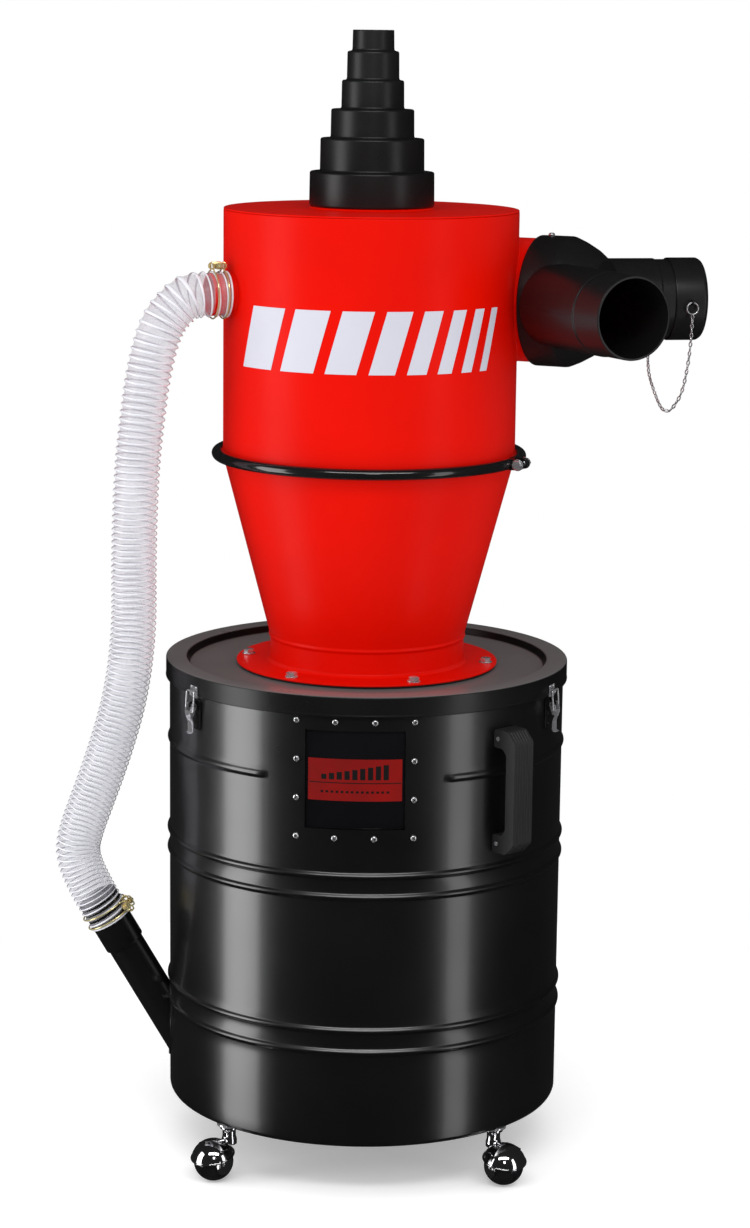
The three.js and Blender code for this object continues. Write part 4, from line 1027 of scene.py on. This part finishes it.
def handleShape():
    tall = handle["top"] - handle["bottom"]
    reach, half = handle["reach"], handle["width"] / 2
    inner, foot, corner = reach - handle["grip"], handle["foot"], 13
    outline = [(0.3, 0), (reach - corner, 0), (reach, corner), (reach, tall - corner),
               (reach - corner, tall), (0.3, tall), (0.3, tall - foot), (inner - 6, tall - foot),
               (inner, tall - foot - 7), (inner, foot + 7), (inner - 6, foot), (0.3, foot)]
    body = roundedPrism(outline, 3.2, 4, -half, half)
    ribs = []
    for i in range(handle["ribs"]):  # fine ribs along the grip's face
        y = -half + 4.6 + (2 * half - 9.2) * i / (handle["ribs"] - 1)
        line = [(reach - corner + 2, y, 1.6), (reach - 0.2, y, corner + 0.8),
                (reach - 0.2, y, tall - corner - 0.8), (reach - corner + 2, y, tall - 1.6)]
        ribs.append(wired(roundedLoop(line, 4, 4), 0.95, 8))
    screws = []
    for z in (foot / 2, tall - foot / 2):  # countersunk screws at both feet
        for side in (-1, 1):
            cup = lathed([(0, 0), (2.6, 0), (2.9, 0.5), (0, 0.7)], 20)
            screws.append(aimed(cup, (0, side, 0), (7, side * half, z)))
    return body, joined(*ribs), joined(*screws)


def buildHandles():
    body, ribs, screws = handleShape()
    for name in ("right", "left"):
        place = wallFrame(handle[name], drum["radius"], handle["bottom"])
        makePiece(f"handle{name.capitalize()}",
                  [(moved(body, place), "handleBlack"), (moved(ribs, place), "handleBlack"),
                   (moved(screws, place), "brightSteel")],
                  "drum", [f"handle_{name}"], bevel=1.0, sharp=32)


latch = {"azimuths": [-56, 64, 184], "reach": 8, "pinHeight": 513, "bailX": 3, "bailZ": -7,
         "bailRise": 24.4, "bailHalf": 8.5, "wire": 1.1, "half": 6.2, "sheet": 1.5, "length": 34,
         "skirt": 246.8, "keeperReach": 3.1}


def latchBase():
    wall = 0.3 - latch["reach"]
    corners = [(-9, 7), (9, 7), (9, -30), (-9, -30)]
    plate = roundedPrism(corners, 3, 4, -wall - 1.3, -wall)
    plate = moved(plate, Matrix.Rotation(math.radians(90), 4, "Z"))
    ears = []
    for side in (-1, 1):
        y = sorted((side * 2.9, side * 4.3))
        outline = [(wall + 1, -8), (-1.5, -3.4), (1.4, -2.6), (2.6, 0), (1.4, 2.6), (-1.5, 3.4),
                   (wall + 1, 6)]
        ears.append(roundedPrism(outline, 1.2, 3, *y))
    pin = aimed(rod(1.6, -latch["half"] - 0.9, latch["half"] + 0.9, 20, 0.5), (0, 1, 0))
    rivets = [aimed(lathed([(0, 0), (2.3, 0), (2.1, 0.7), (1.2, 1.2), (0, 1.35)], 20), (1, 0, 0),
                    (wall + 1.3, 0, z)) for z in (-14, -25)]
    return joined(plate, *ears, pin, *rivets)


def latchLever():
    bx, bz, half, sheet = latch["bailX"], latch["bailZ"], latch["half"], latch["sheet"]
    cheek = [(-2.8, -1.5), (-2.6, 2.4), (2.4, 3), (bx + 2.9, bz + 2), (bx + 2.6, bz - 4),
             (1.4, bz - 6)]
    cheeks = [roundedPrism(cheek, 1.8, 4, y, y + sheet) for y in (-half, half - sheet)]
    tip = 6 - latch["length"]
    spine = [(bx + 2.4, 0, bz + 1), (bx + 2.2, 0, bz - 5), (2.3, 0, tip + 9), (1.9, 0, tip + 2),
             (2.6, 0, 1.6 - latch["length"]), (6.2, 0, 0.8 - latch["length"])]
    line = smoothPath(spine, 1.0)
    rows = []
    for i, point in enumerate(line):  # a pressed strip, dished along its middle
        before, after = line[max(i - 1, 0)], line[min(i + 1, len(line) - 1)]
        along = (after - before).normalized()
        out = Vector((0, 1, 0)).cross(along)
        width = half * (1 - 0.08 * fade(i, len(line) * 0.7, len(line)))
        for y, dish in ((-width, 0), (-width * 0.6, 0.5), (0, 0.7), (width * 0.6, 0.5), (width, 0)):
            rows.append(point + Vector((0, y, 0)) + out * (dish * 0.6))
    count = len(line)
    points = rows + [p - Vector((0.9, 0, 0.2)) for p in rows]
    faces, edge = [], count * 5
    for k in range(count - 1):
        for i in range(4):
            a, b = k * 5 + i, (k + 1) * 5 + i
            faces += [(a, a + 1, b + 1, b), (a + edge, b + edge, b + 1 + edge, a + 1 + edge)]
        for a, b in ((k * 5, (k + 1) * 5), (k * 5 + 4, (k + 1) * 5 + 4)):
            faces.append((a, b, b + edge, a + edge))
    for k in (0, count - 1):
        faces += [(i, i + 1, i + 1 + edge, i + edge) for i in range(k * 5, k * 5 + 4)]
    heads = [aimed(lathed([(0, 0), (1.9, 0), (1.7, 0.4), (0, 0.6)], 16), (0, side, 0),
                   (bx, side * half, bz)) for side in (-1, 1)]
    return joined(*cheeks, (points, faces), *heads)


def latchBail():
    bx, bz, half = latch["bailX"], latch["bailZ"], latch["bailHalf"]
    top = bz + latch["bailRise"]
    inner = latch["half"] - latch["sheet"] + 0.3
    corners = [(bx, -inner, bz), (bx, -half, bz), (bx - 1.4, -half, top), (bx - 1.4, half, top),
               (bx, half, bz), (bx, inner, bz)]
    return wired(evenly(roundedLoop(corners, 3.4, 6), 1.0), latch["wire"], 12)


def latchKeeper():
    base = latch["skirt"]
    top = latch["pinHeight"] + latch["bailZ"] + latch["bailRise"] - latch["wire"] - 1
    plate = brick((base, base + 0.7), (-8, 8), (top - 6, top + 8))
    reach = base + latch["keeperReach"]
    hook = [(base + 0.8, top - 3.9), (reach - 0.7, top - 3.9), (reach, top - 3), (reach, top),
            (reach - 1, top), (reach - 1.2, top - 2.2), (base + 0.8, top - 2.2)]
    rivets = [aimed(lathed([(0, 0), (1.5, 0), (1.2, 0.6), (0, 0.8)], 16), (1, 0, 0),
                    (base + 0.7, y, top + 6.1)) for y in (-4.6, 4.6)]
    return joined(plate, roundedPrism(hook, 0.5, 2, -5.8, 5.8), *rivets)


def buildLatches():
    for n, azimuth in enumerate(latch["azimuths"], 1):
        place = wallFrame(azimuth, drum["radius"] + latch["reach"], latch["pinHeight"])
        onLid = wallFrame(azimuth, 0, 0)
        rows = [("Base", latchBase(), place, "drum", "latch_base", 0.25),
                ("Lever", latchLever(), place, f"latch_lever_{n}", "latch_lever", 0),
                ("Bail", latchBail(), place, f"latch_bail_{n}", "latch_bail", 0),
                ("Keeper", latchKeeper(), onLid, "head", "latch_keeper", 0.2)]
        for label, shape, at, body, node, bevel in rows:
            look = "bandGloss" if label == "Base" else "chromePlate"
            makePiece(f"latch{label}{n}", [(moved(shape, at), look)], body,
                      [f"{node}_{n}"], bevel=bevel)


caster = {"azimuths": [-45, 45, 135, -135], "turns": [-136, -61, 20, 165], "inset": 15,
          "height": 67, "trail": 25, "wheel": 24, "half": 18.8, "hood": 27.5, "sheet": 1.7,
          "tilt": 11, "plate": 15, "stem": 5,
          "rim": 71,  # how far down the dome's edge comes, in degrees from its top
          "ear": 19.5, "slotShade": 0.7}


def casterMount():
    disc = [(0, -3.3), (caster["plate"], -3.3), (caster["plate"], -0.3), (0, -0.3)]
    stem = caster["stem"]
    neck = [(0, -14), (stem - 0.6, -14), (stem, -13), (stem, -0.6), (0, -0.6)]
    return joined(turned(disc, 0.9, 64), lathed(neck, 32))


def casterHood():
    hub = Vector((caster["trail"], 0, caster["wheel"] - caster["height"]))
    outer, inner = caster["hood"], caster["hood"] - caster["sheet"]
    rim, steps = caster["rim"], 24
    profile = []
    for k in range(steps + 1):
        a = math.radians(rim * k / steps)
        profile.append((outer * math.sin(a), outer * math.cos(a)))
    a = math.radians(rim)
    profile += [(outer * math.sin(a) + 1.1, outer * math.cos(a) - 0.6),
                (outer * math.sin(a) + 1.1, outer * math.cos(a) - 1.8),
                (inner * math.sin(a), inner * math.cos(a) - 1.6)]
    for k in range(steps, -1, -1):
        a = math.radians(rim * k / steps)
        profile.append((inner * math.sin(a), inner * math.cos(a)))
    dome = turned([(0 if r < 1e-6 else r, z) for r, z in profile], 0.3, 72, 2)
    tilt = Matrix.Rotation(math.radians(caster["tilt"]), 4, "Y")
    dome = moved(dome, Matrix.Translation(hub) @ tilt)
    boss = turned([(5.5, -3.6), (9, -3.6), (9, -8), (8.2, -9.5), (8.2, -17), (9.4, -21),
                   (9.4, -27), (5.5, -27)], 0.8, 48)
    race = turned([(9.0, -4.2), (11.4, -4.2), (11.4, -7.4), (9.0, -7.4)], 0.7, 48)
    ears = []
    for side in (-1, 1):
        disc = turned([(0, 0), (12.5, 0), (12.5, 1.2), (9.5, 1.6), (8.8, 2.2), (3.4, 2.2),
                       (3.2, 3), (0, 3.2)], 0.4, 56)
        ears.append(aimed(disc, (0, side, 0), hub + Vector((0, side * caster["ear"], 0))))
        y = sorted((side * caster["ear"], side * (caster["ear"] + 1.4)))
        strap = roundedPrism([(-7, 0), (7, 0), (6, 19), (-6, 19)], 2, 3, *y)
        ears.append(shifted(strap, hub.x, 0, hub.z))
    axle = aimed(rod(3, -20, 20, 20), (0, 1, 0), hub)
    return joined(dome, boss, race, *ears, axle)


def casterBall():
    hub = Vector((caster["trail"], 0, caster["wheel"] - caster["height"]))
    limit = math.asin(caster["half"] / caster["wheel"])
    tread = []
    for k in range(33):  # two half shells with a fine groove between them
        a = -limit + 2 * limit * k / 32
        r, z = caster["wheel"] * math.cos(a), caster["wheel"] * math.sin(a)
        tread.append((r - (caster["slotShade"] if k == 16 else 0), z))
    half = caster["half"]
    profile = [(3.6, -half + 2), (10.5, -half + 2), (11.5, -half)] + tread
    profile += [(11.5, half), (10.5, half - 2), (3.6, half - 2)]
    return aimed(lathed(profile, 96), (0, 1, 0), hub)


def buildCasters():
    for n, (azimuth, turn) in enumerate(zip(caster["azimuths"], caster["turns"]), 1):
        stem = outwardAt(azimuth) * (drum["radius"] - caster["inset"])
        place = Matrix.Translation(stem) @ Matrix.Rotation(math.radians(turn), 4, "Z")
        makePiece(f"casterMount{n}", [(moved(casterMount(), place), "chromePlate")], "drum",
                  [f"caster_mount_{n}"])
        makePiece(f"casterHood{n}", [(moved(casterHood(), place), "hoodChrome")],
                  f"caster_hood_{n}", [f"caster_hood_{n}"], sharp=42)
        makePiece(f"casterBall{n}", [(moved(casterBall(), place), "ballGloss")],
                  f"caster_wheel_{n}", [f"caster_wheel_{n}"])


lid = {"rim": 246.5, "top": 548, "skirtBottom": 524, "rimInner": 221, "floor": 538.5,
       "hole": 112, "sheet": 1.5}
bolts = {"count": 6, "turn": 22.5, "circle": 147, "head": 6.5, "under": 536.7}
flange = {"bottom": 541.1, "top": 543.6, "radius": 160}


def buildLid():
    rim, top, sheet, low = lid["rim"], lid["top"], lid["sheet"], lid["skirtBottom"]
    inner, floor = lid["rimInner"], lid["floor"]
    profile = [(inner - 20, floor - sheet), (inner - 2.6, floor - sheet),
               (inner + 1.4, top - sheet), (rim - 1.5, top - sheet), (rim - 1.5, low),
               (rim + 0.2, low), (rim + 0.5, low + 1.6),
               (rim, low + 3), (rim, top), (inner, top), (inner - 4, floor), (lid["hole"], floor),
               (lid["hole"], floor - sheet), (inner - 20, floor - sheet)]
    makePiece("lid", [(turned(profile, 2.2, 200, 5), "lidPaint")], "head", ["lid"])
    makePiece("lidGasket", [(pipe(243.5, 224.5, 540.3, 546.2, 128, 1.2), "sealFoam")], "head",
              ["lid_gasket"])
    makePiece("flangeGasket", [(pipe(158, 116, 538.8, 540.8, 128, 0.6), "sealFoam")], "head",
              ["flange_gasket"])
    under, head = bolts["under"], bolts["head"]
    washer = pipe(head + 1.6, 3.1, flange["top"] + 0.1, flange["top"] + 1.4, 40, 0.3)
    crown = hexagon(head * 2, flange["top"] + 1.4, flange["top"] + 6)
    crown = joined(crown, shifted(lathed([(0, 6), (4.6, 6), (4.2, 6.4), (0, 6.6)], 32), 0, 0,
                                  flange["top"]))
    shank = rod(3, under - 8, flange["top"] + 2, 24, 0.4)
    nut = hexagon(head * 2, under - 5, under)
    for n in range(1, bolts["count"] + 1):
        azimuth = bolts["turn"] + 360 / bolts["count"] * (n - 1)
        place = Matrix.Translation(outwardAt(azimuth) * bolts["circle"])
        bolt = moved(joined(washer, crown, shank, nut), place @ Matrix.Rotation(n * 0.7, 4, "Z"))
        makePiece(f"flangeBolt{n}", [(bolt, "brightSteel")],
                  "head", [f"flange_bolt_{n}"], sharp=25)


shell = {"radius": 177.3, "sheet": 1.5, "coneBottom": 575.1, "coneOutlet": 119, "bandLow": 795.1,
         "bandHigh": 799.1, "top": 1093.9, "lip": 184.5, "finder": 72.2,
         "finderDepth": 190, "collar": 38, "seamAzimuth": 168}


def seamLine(path, size=0.7):  # an upright weld line on a shell
    return wired(evenly(path, 3), size, 6)


def buildCone():
    wall, outlet, low = shell["sheet"], shell["coneOutlet"], shell["coneBottom"]
    wide = shell["radius"] - 0.6
    bandLow = shell["bandLow"]
    profile = [(outlet + 20, flange["bottom"]), (flange["radius"], flange["bottom"]),
               (flange["radius"], flange["top"]), (outlet + 3.5, flange["top"]),
               (outlet, flange["top"] + 3.5), (outlet, low - 3), (outlet + 2, low),
               (outlet + 1, low + 3), (wide, bandLow - 2), (wide, bandLow), (shell["lip"], bandLow),
               (shell["lip"], bandLow + 2), (wide - wall, bandLow + 2), (outlet - wall, low),
               (outlet - wall, flange["bottom"]), (outlet + 20, flange["bottom"])]
    out = outwardAt(shell["seamAzimuth"])
    seam = seamLine([out * (outlet + 1) + up * (low + 4), out * wide + up * (bandLow - 3)])
    makePiece("separatorCone", [(turned(profile, 1.2, 192, 4), "redPaint"),
                                (seam, "redPaint")], "head", ["separator_cone"])


def buildCylinder():
    wall, radius, top = shell["sheet"], shell["radius"], shell["top"]
    low = shell["bandHigh"]
    profile = [(radius - wall, 900), (radius - wall, low), (shell["lip"], low),
               (shell["lip"], low + 2), (radius + 2, low + 2), (radius, low + 4),
               (radius, top - 3.2), (radius - 0.4, top - 2.3), (radius - wall, top - 2.3),
               (radius - wall, 900)]
    out = outwardAt(shell["seamAzimuth"])
    seam = seamLine([out * radius + up * (low + 4), out * radius + up * (top - 4)])
    makePiece("cycloneBody", [(turned(profile, 0.6, 224, 3), "redPaint"),
                              (seam, "redPaint")], "head", ["cyclone_body"])
    finder, inner = shell["finder"], shell["finder"] - wall
    rise, foot = top + shell["collar"], top - shell["finderDepth"]
    cover = [(radius - 20, top - 2), (radius - 0.3, top - 2), (radius, top - 1.2),
             (radius - 0.4, top - 0.2), (radius - 3, top), (finder + 3, top), (finder, top + 3),
             (finder, rise), (inner, rise), (inner, foot), (finder, foot), (finder, top - 2),
             (radius - 20, top - 2)]
    makePiece("cycloneCover", [(turned(cover, 0.8, 192, 3), "redPaint")], "head",
              ["cyclone_cover"])


stripes = {"low": 913, "high": 986, "lean": 17, "start": -57, "end": 57, "proud": 0.35,
           "widths": [15, 13, 11, 9, 7, 5.5, 4.5, 3.5], "gap": 4.2}


def buildStripes():  # slanted white bars, narrowing to the right
    radius = shell["radius"]
    total = sum(stripes["widths"]) + stripes["gap"] * (len(stripes["widths"]) - 1)
    scale = (stripes["end"] - stripes["start"] - stripes["lean"] * 0.4) / total
    shapes, at = [], stripes["start"]
    for width in stripes["widths"]:
        width *= scale
        rows, steps = 12, 8
        points = []
        for depth in (0.02, stripes["proud"]):
            for k in range(rows + 1):
                z = stripes["low"] + (stripes["high"] - stripes["low"]) * k / rows
                lean = stripes["lean"] * 0.4 * k / rows
                for i in range(steps + 1):
                    spot = at + lean + width * i / steps
                    points.append(outwardAt(spot) * (radius + depth) + up * z)
        layer, row = (rows + 1) * (steps + 1), steps + 1
        front = [(k * row + i, k * row + i + 1, (k + 1) * row + i + 1, (k + 1) * row + i)
                 for k in range(rows) for i in range(steps)]
        faces = [tuple(reversed(f)) for f in front] + [tuple(p + layer for p in f) for f in front]
        edges = {(a, b) for f in front for a, b in zip(f, f[1:] + f[:1])}
        faces += [(a, b, b + layer, a + layer) for a, b in edges if (b, a) not in edges]
        shapes.append((points, sorted(faces)))
        at += width + stripes["gap"] * scale
    makePiece("cycloneStripes", [(joined(*shapes), "decalWhite")], "head")


def buildDuct():
    wide, skin = inlet["duct"], shell["radius"] - 0.4
    body, toe = fittedPipe(wide, wide - shell["sheet"], inletPoint(0), inletAxis,
                           inlet["ductEnd"], skin, sides=120)
    makePiece("inletDuct", [(body, "redPaint"), (weldBead(toe, 1.2, 5), "redPaint")],
              "head", ["inlet_duct"])
    reach = cyclone["stubReach"] + shell["radius"]
    r = cyclone["stubRadius"]
    ends = [(reach - 5, r), (reach - 3.6, r + 0.9), (reach - 2, r + 0.9), (reach, r - 0.2)]
    stub, ring = fittedPipe(r, r - 1.6, up * stubHeight, stubDirection, reach, skin, ends)
    makePiece("hoseStub", [(stub, "redPaint"), (weldBead(ring, 1.5, 9), "redPaint")],
              "head", ["hose_stub"])


bandClamp = {"azimuth": 66, "tube": 6.6, "slot": 3.3, "lugReach": 14, "lugHalfGap": 5,
             "lugSheet": 6, "bolt": 3.2}


def threaded(radius, low, high, pitch=1.0, sides=20):
    profile, z = [(0, low), (radius * 0.8, low)], low + 0.5
    while z < high - pitch:
        profile += [(radius, z), (radius * 0.82, z + pitch / 2)]
        z += pitch
    return lathed(profile + [(radius * 0.8, high), (0, high)], sides)


def buildBand():
    middle = (shell["bandLow"] + 2 + shell["bandHigh"]) / 2
    lip, tube = shell["lip"], bandClamp["tube"]
    seal = pipe(lip - 1, shell["radius"] - 1.5, middle - 0.7, middle + 0.7, 160, 0.2)
    makePiece("bandSeal", [(seal, "sealFoam")], "head", ["band_seal"])
    profile = []
    for k in range(19):
        a = math.radians(-135 + 270 * k / 18)
        profile.append((lip + tube * math.cos(a), middle + tube * math.sin(a)))
    inside, edge = lip + 0.6, lip + tube * math.cos(math.radians(135))
    top, bottom = middle + bandClamp["slot"], middle - bandClamp["slot"]
    profile += [(edge, top), (inside, top), (inside, bottom), (edge, bottom)]
    near, far = bandClamp["lugHalfGap"], bandClamp["lugHalfGap"] + bandClamp["lugSheet"]
    half = math.degrees(near / lip)
    azimuth = bandClamp["azimuth"]
    ring = swept(profile, azimuth + half, azimuth + 360 - half, 220)
    place = wallFrame(azimuth, lip + bandClamp["lugReach"], middle)
    lugs = []
    for low, high in ((-far, -near), (near, far)):
        arm = [(-11.5, -tube), (-6, -tube), (0, -tube), (0, tube), (-6, tube), (-11.5, tube)]
        lugs.append(prism(arm, low, high))
        eye = turned([(3.6, low), (tube, low), (tube, high), (3.6, high)], 0.8, 48)
        lugs.append(aimed(eye, (0, 1, 0)))
    makePiece("bandClamp", [(joined(ring, moved(joined(*lugs), place)), "bandGloss")], "head",
              ["band_clamp"], sharp=45)
    face = far + 0.3
    bolt = joined(hexagon(12, -face - 5, -face - 1.2), rod(7, -face - 1.2, -face, 32, 0.3),
                  threaded(bandClamp["bolt"], -face - 1, face + 13),
                  rod(7, face, face + 1.1, 32, 0.3), hexagon(12, face + 1.1, face + 6.4))
    makePiece("bandBolt", [(moved(aimed(bolt, (0, 1, 0)), place), "brightSteel")], "head",
              ["band_bolt"], sharp=30)


outlet = {"radii": [75, 62.5, 50, 37.5, 31.25, 25], "rises": [41.3, 39.4, 34.2, 33.8, 34, 24.8],
          "wall": 2.2, "draft": 0.5, "edge": 2.6}


def buildOutlet():
    outer, inner, z = [], [], shell["top"] + 2.2
    last = len(outlet["radii"]) - 1
    for i, (radius, rise) in enumerate(zip(outlet["radii"], outlet["rises"])):
        top = z + rise
        if i == 0:
            outer += [(radius - 1.6, z), (radius, z + 1.8)]
        outer += [(radius, z + 0.5)] if i else []
        upper = radius - outlet["draft"]
        outer += [(upper, top)]
        foot = z - outlet["wall"] if i else z
        ceiling = top - outlet["wall"] if i < last else top
        inner[:0] = [(upper - outlet["wall"], ceiling), (radius - outlet["wall"], foot)]
        z = top
    profile = softened(outer + inner + [outer[0]], outlet["edge"], 6)[:-1]
    makePiece("outletAdapter", [(lathed(profile, 160), "mouldedBlack")], "adapter",
              ["outlet_adapter"], sharp=50)


def wyeSolid(shrink):
    bore = shrink > 0
    start = inlet["socketStart"] - (1 if bore else 0)
    socket = inlet["duct"] + 0.4 if bore else inlet["socket"]
    neck = inlet["socketStart"] + inlet["socketLength"] - (inlet["wall"] if bore else 0)
    tip = inlet["branch"] + 3 - shrink
    end = neck + inlet["cone"]
    shoulder = [(socket * wide, neck + inlet["cone"] * along) for wide, along in inlet["shoulder"]]
    profile = [(0, start), (socket, start), (socket, neck), *([] if bore else shoulder),
               (tip, end), (0, end)]
    bell = lathed(softened(profile, 0.4, 5) if bore else softened(profile, 2.4, 6), 120)
    pieces = [("wyeBell", aimed(bell, inletAxis, inletPoint(0)))]
    for label, axis, length in (("Front", frontAxis, inlet["frontLength"]),
                                ("Side", sideAxis, inlet["sideLength"])):
        end = length + (1 if bore else 0)
        branch, port = inlet["branch"] - shrink, inlet["port"] - shrink
        profile = [(0, 78), (branch, 78), (branch, length - inlet["neck"]),
                   (port, length - inlet["neck"] + 1.2), (port, end), (0, end)]
        arm = lathed(softened(profile, 0.3 if bore else 0.9, 3), 96)
        pieces.append(("wyeArm" + label, aimed(arm, axis, branchPoint(axis, 0))))
    solids = [makePiece(name + ("Bore" if bore else ""), [(shape, "mouldedBlack")], None)
              for name, shape in pieces]
    return cutOrJoin(solids[0], solids[1:], "UNION")


def eyeletTab(place, outward):
    plate = roundedPrism([(-3, -3.5), (3, -3.5), (3, 6.5), (-3, 6.5)], 2.6, 5, -0.9, 0.9)
    rim = [wired([(1.9 * math.cos(a / 8 * math.pi), s * 0.95, 3.2 + 1.9 * math.sin(a / 8 * math.pi))
                  for a in range(16)], 0.35, 6, closed=True) for s in (-1, 1)]
    tab = joined(plate, *rim)
    basis = Matrix((sideAxis.cross(outward), sideAxis, outward)).transposed().to_4x4()
    return moved(tab, Matrix.Translation(place) @ basis)


def buildWye():
    body = wyeSolid(0)
    bore = wyeSolid(inlet["wall"])
    cutOrJoin(body, [bore], "DIFFERENCE")
    body.name = "inletWye"
    mesh = body.data
    work = bmesh.new()
    work.from_mesh(mesh)
    bmesh.ops.remove_doubles(work, verts=work.verts, dist=0.00004)
    work.to_mesh(mesh)
    work.free()
    mesh.polygons.foreach_set("use_smooth", [True] * len(mesh.polygons))
    mesh.set_sharp_from_angle(angle=math.radians(32))
    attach(body, "head")
    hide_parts("inlet_wye")
    # mould lines along the socket and the front branch, and the tab for the chain
    socket, start = inlet["socket"], inlet["socketStart"]
    end = start + inlet["socketLength"]
    lines = []
    for side in (-1, 1):
        along = [inletPoint(start + 3) + inletSide * side * (socket + 0.05),
                 inletPoint(end - 3) + inletSide * side * (socket + 0.05)]
        lines.append(wired(evenly(along, 4), 0.32, 6))
    across = planar(inlet["azimuth"] + inlet["frontAngle"] + 90)
    far = inlet["frontLength"] - inlet["neck"] - 1
    for side in (-1, 1):
        along = [branchPoint(frontAxis, at) + across * side * (inlet["branch"] + 0.02)
                 for at in (130, far)]
        lines.append(wired(evenly(along, 4), 0.3, 6))
    tab = eyeletTab(eyeletPlace, eyeletOut)
    makePiece("wyeMouldLines", [(joined(tab, *lines), "mouldedBlack")], "head")
    foot = inletPoint(start + 14) + up * (socket + 0.3)
    dome, *cross = panHead(4, 2.9)
    # the dark cross on the screw head is painted shade for its recess
    makePiece("wyeScrew", [(shifted(joined(dome, rod(2, -4, 0.5, 16)), *foot), "chromePlate"),
                           (shifted(joined(*cross), *foot), "inkAndSlotShade")],
              "head", ["wye_screw"])


def buildCap():
    inner = inlet["port"] + 0.4
    outer = inner + 1.5
    depth = 38
    profile = [(0, capAt), (inner, capAt), (inner, capAt - depth), (outer - 0.2, capAt - depth),
               (outer, capAt - depth + 1), (outer, capAt - 1.5), (outer - 2.5, capAt + 2.3),
               (outer - 6, capAt + 2.5), (outer - 8, capAt + 1.4), (0, capAt + 1.4)]
    cup = aimed(turned(profile, 1.4, 120, 4), sideAxis, branchPoint(sideAxis, 0))
    makePiece("blankCap", [(cup, "mouldedBlack"),
                           (eyeletTab(capEyelet, sideFront), "mouldedBlack")],
              "cap", ["blank_cap"])
    ring = []
    for k in range(40):
        a = 2 * math.pi * k / 40
        ring.append(ringCentre + (sideAxis * math.cos(a) + up * math.sin(a)) * chain["ring"])
    makePiece("capRing", [(wired(ring, chain["ringWire"], 10, closed=True), "brightSteel")], "cap",
              ["cap_ring"])


stageLook = {"floorTone": (0.9, 0.9, 0.9), "floorGlow": 0.3, "reach": 0.95, "seen": 1.0,
             "lit": 0.8, "mirrored": 0.015}


def buildStage():
    floor = bpy.data.meshes.new("studioFloor")
    reach = stageLook["reach"]
    points, faces = lathed([(0, 0), (reach * 0.4, 0), (reach, 0), (reach, -0.02), (0, -0.02)], 96)
    floor.from_pydata([tuple(p) for p in points], [], faces)
    stage = bpy.data.objects.new("studioFloor", floor)
    bpy.context.scene.collection.objects.link(stage)
    material, tree, shader, place = shaderOf("studioFloor")
    tone = stageLook["floorTone"]
    cloud = rangeOf(tree, noiseOf(tree, place, 2.0), 0, 1)
    mixed = mixOf(tree, cloud, tone, tuple(t * 0.985 for t in tone))
    tree.links.new(mixed, shader.inputs["Base Color"])
    shader.inputs["Roughness"].default_value = 0.9
    shader.inputs["Specular IOR Level"].default_value = 0.1
    shader.inputs["Emission Color"].default_value = (1, 1, 1, 1)
    shader.inputs["Emission Strength"].default_value = stageLook["floorGlow"]
    stage.visible_glossy = False  # lets the low ends of the side boxes be mirrored
    floor.materials.append(material)
    world = bpy.data.worlds.new("studio")
    world.use_nodes = True
    tree = world.node_tree
    sky = tree.nodes["Background"]
    sky.inputs["Color"].default_value = (1, 1, 1, 1)
    ray = tree.nodes.new("ShaderNodeLightPath")
    strength = stageLook["lit"]
    for kind in ("Is Glossy Ray", "Is Camera Ray"):
        blend = tree.nodes.new("ShaderNodeMix")
        tree.links.new(ray.outputs[kind], blend.inputs["Factor"])
        if isinstance(strength, float):
            blend.inputs["A"].default_value = strength
            blend.inputs["B"].default_value = stageLook["mirrored"]
        else:
            tree.links.new(strength, blend.inputs["A"])
            blend.inputs["B"].default_value = stageLook["seen"]
        strength = blend.outputs["Result"]
    tree.links.new(strength, sky.inputs["Strength"])
    bpy.context.scene.world = world
    bpy.context.scene.view_settings.view_transform = "Standard"


lamps = [  # name, place in metres, point looked at, width, height, watts
    ("leftBox", (-2.55, -0.75, 0.5), (0, 0, 0.5), 1.15, 3.0, 40),
    ("rightBox", (2.1, -1.55, 0.35), (0, 0, 0.35), 0.65, 3.2, 12),
    ("topStrip", (0.0, -2.3, 3.0), (0, 0, 0.7), 3.2, 0.7, 42),
    ("frontFill", (0.3, -5.4, 3.4), (0, 0, 0.8), 1.0, 1.0, 12),
]


def buildLamps():
    for name, place, target, width, height, power in lamps:
        data = bpy.data.lights.new(name, "AREA")
        data.shape = "RECTANGLE"
        data.size, data.size_y = width, height
        data.energy = power
        lamp = bpy.data.objects.new(name, data)
        bpy.context.scene.collection.objects.link(lamp)
        lamp.location = place
        lamp.rotation_mode = "QUATERNION"
        lamp.rotation_quaternion = (Vector(target) - Vector(place)).to_track_quat("-Z", "Y")


buildDrum()
print("drum made")
buildWindow()
buildHandles()
buildLatches()
print("window, handles and latches made")
buildCasters()
buildLid()
print("casters and lid made")
buildCone()
buildCylinder()
buildStripes()
buildDuct()
buildBand()
print("cyclone made")
buildOutlet()
buildWye()
buildCap()
print("outlet and inlet made")
buildStage()
buildLamps()
